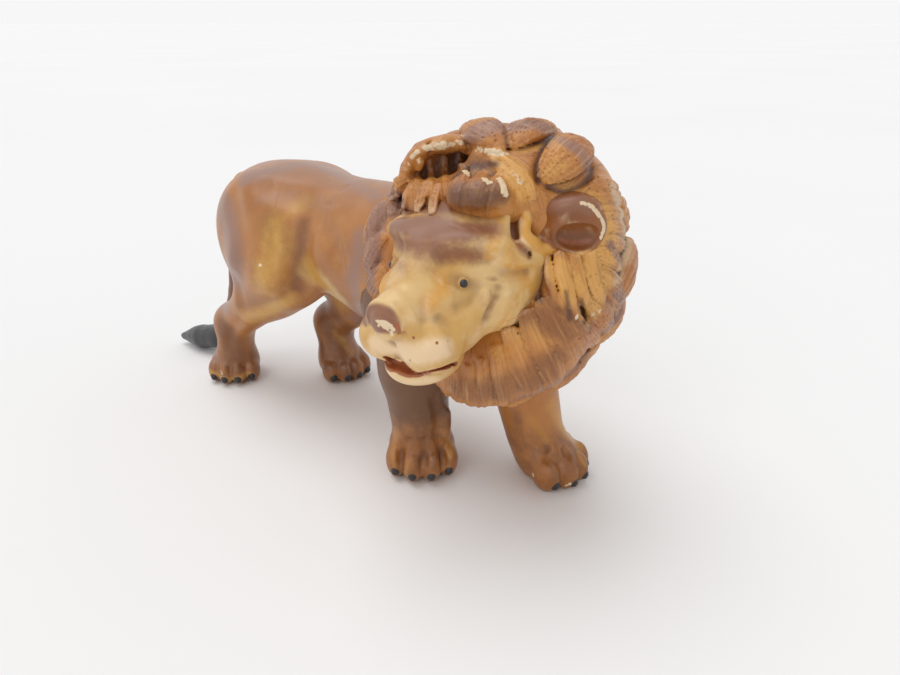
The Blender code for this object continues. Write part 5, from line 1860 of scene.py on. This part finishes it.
    def comb(self, skin: Skin, locks: list[Lock]) -> None:
        """Give each point the lock that it lies on, and its place across and along that lock.

        Args:
            skin: the mane's surface.
            locks: its locks.
        """
        count = len(skin.points)
        nearest = np.full(count, self.comb_reach, np.float32)
        across, along, tint = np.zeros((3, count), np.float32)
        tints = np.random.default_rng(SEED).random(len(locks))
        for one, shade in zip(locks, tints):
            low, high = one.reach()
            above, below = skin.points > low - self.comb_margin, skin.points < high + self.comb_margin
            near = np.flatnonzero((above & below).all(1))
            if not len(near):
                continue
            away, side, run = one.trace(skin.points[near])
            closer = np.abs(away) < nearest[near]
            picked = near[closer]
            nearest[picked] = np.abs(away)[closer]
            across[picked] = side[closer] * one.sizes[:, 0].max()
            along[picked] = run[closer]
            tint[picked] = shade
        skin.masks.update(across=across, along=along, tint=tint)

    def back_locks(self, form: Clay) -> list[Lock]:
        """Lay locks over the sides that the photograph doesn't show.

        Args:
            form: the bare mane.

        Returns:
            The locks, swept back from the face.
        """
        chance = np.random.default_rng(SEED)
        centre = HEAD.point(self.middle)
        steps = np.linspace(0, 1, 10)
        ends = [(root, tip, start, end, 0.75) for root, start, tip, end in self.far_locks]
        for ring, (ahead, count) in enumerate(self.rings):
            for i in range(count):
                around = 360 * (i + ring % 2 / 2 + self.stray * math.sin(ring * count + i * i)) / count
                if self.ways(ahead + self.sweep / 2, around) @ np.array(self.face_way) < self.face_limit:
                    ends.append((ahead, ahead + self.sweep, around, around + chance.uniform(-12, 12), 1.0))
        locks = []
        for root, tip, start, end, size in ends:
            ways = self.ways(root + (tip - root) * steps, start + (end - start) * steps) @ HEAD.axes.T
            points = centre + ways * self.shell
            for _ in range(60):
                points = points - ways * np.clip(form.at(points), -1.2, 1.2)[:, None] * 0.8
            outward = form.normals(points)
            taper = np.interp(steps, (0, 0.35, 0.75, 1), (0.6, 1, 0.85, 0.35))
            wide = size * chance.uniform(3.8, 4.8) * taper
            thick = np.clip(wide * 0.55, 0.5, 2.3)
            path = points + outward * thick[:, None] * np.interp(steps, (0, 1), (-0.2, 0.35))[:, None]
            locks.append(Lock(path, outward, np.column_stack([wide, thick]), chance.uniform(4, 7), 0.35,
                              chance.random()))
        return locks

    def ways(self, ahead: Array, around: Array) -> Array:
        """Work out ways from the mane's middle, in the head's frame.

        Args:
            ahead: degrees from straight ahead.
            around: degrees round the head, up from the lion's left.

        Returns:
            The ways, of length one.
        """
        tilt, spin = np.radians(ahead), np.radians(around)
        return np.stack([np.cos(tilt), np.sin(tilt) * np.cos(spin), np.sin(tilt) * np.sin(spin)], -1)


@dataclass
class Studio:
    """A pale floor and soft light."""

    floor_size: float = 60.0
    floor_tone: Colour = (0.93, 0.93, 0.93)

    def floor(self) -> None:
        """Lay the floor."""
        bpy.ops.object.select_all(action="DESELECT")
        bpy.ops.mesh.primitive_plane_add(size=self.floor_size, location=(0, 0, 0))
        floor = bpy.context.object
        floor.name = "studio_floor"
        recipe = Recipe("floor_paper")
        colour = recipe.mix(recipe.noise(300.0).ease(0.3, 0.7), self.floor_tone, (0.95, 0.95, 0.95))
        recipe.tree.links.new(colour, recipe.shader.inputs["Base Color"])
        recipe.shader.inputs["Roughness"].default_value = 0.7
        floor.data.materials.append(recipe.material)

    def lamp(self, name: str, place: tuple, spread: float, power: float) -> None:
        """Hang a wide, distant lamp that lights the whole floor alike.

        Args:
            name: the lamp's name.
            place: the way that its light comes from.
            spread: how wide it looks from the figure, in degrees.
            power: its strength, in watts on a square metre.
        """
        light = bpy.data.lights.new(name, "SUN")
        light.angle = math.radians(spread)
        light.energy = power
        holder = bpy.data.objects.new(name, light)
        holder.location = place
        holder.rotation_euler = (-Vector(place)).to_track_quat("-Z", "Y").to_euler()
        bpy.context.scene.collection.objects.link(holder)

    def sky(self) -> None:
        """Light the studio from all round, and show white behind the figure."""
        world = bpy.data.worlds.new("studio_sky")
        bpy.context.scene.world = world
        world.use_nodes = True
        tree = world.node_tree
        soft = next(node for node in tree.nodes if node.type == "BACKGROUND")
        soft.inputs["Color"].default_value = (1, 1, 1, 1)
        soft.inputs["Strength"].default_value = 0.55
        white = tree.nodes.new("ShaderNodeBackground")
        white.inputs["Color"].default_value = (0.93, 0.93, 0.93, 1)
        rays = tree.nodes.new("ShaderNodeLightPath")
        seen = rays.outputs["Is Camera Ray"]
        for name in ("Is Glossy Ray", "Is Transmission Ray"):
            either = tree.nodes.new("ShaderNodeMath")
            either.operation = "MAXIMUM"
            tree.links.new(seen, either.inputs[0])
            tree.links.new(rays.outputs[name], either.inputs[1])
            seen = either.outputs[0]
        join = tree.nodes.new("ShaderNodeMixShader")
        tree.links.new(seen, join.inputs[0])
        tree.links.new(soft.outputs[0], join.inputs[1])
        tree.links.new(white.outputs[0], join.inputs[2])
        out = next(node for node in tree.nodes if node.type == "OUTPUT_WORLD")
        tree.links.new(join.outputs[0], out.inputs[0])

    def build(self) -> None:
        """Set up the floor, the light and the view."""
        self.floor()
        self.lamp("top_light", (-0.10, 0.25, 0.90), 50.0, 1.1)
        self.lamp("left_light", (-0.80, -0.20, 0.60), 40.0, 0.45)
        self.sky()
        bpy.context.scene.view_settings.view_transform = "Standard"


def main() -> None:
    """Build the figure's pieces in order, then the studio."""
    logging.basicConfig(level=logging.INFO, format="%(message)s")
    low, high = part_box("torso")
    middle = np.array((low + high) / 2) / MM
    shift = np.array([middle[0], middle[1] - 4.25, 0.0])
    VIEW.stand(shift)
    for part in (Body(), Head(), Mane()):
        part.build(shift)
    Studio().build()


if __name__ == "__main__":
    main()
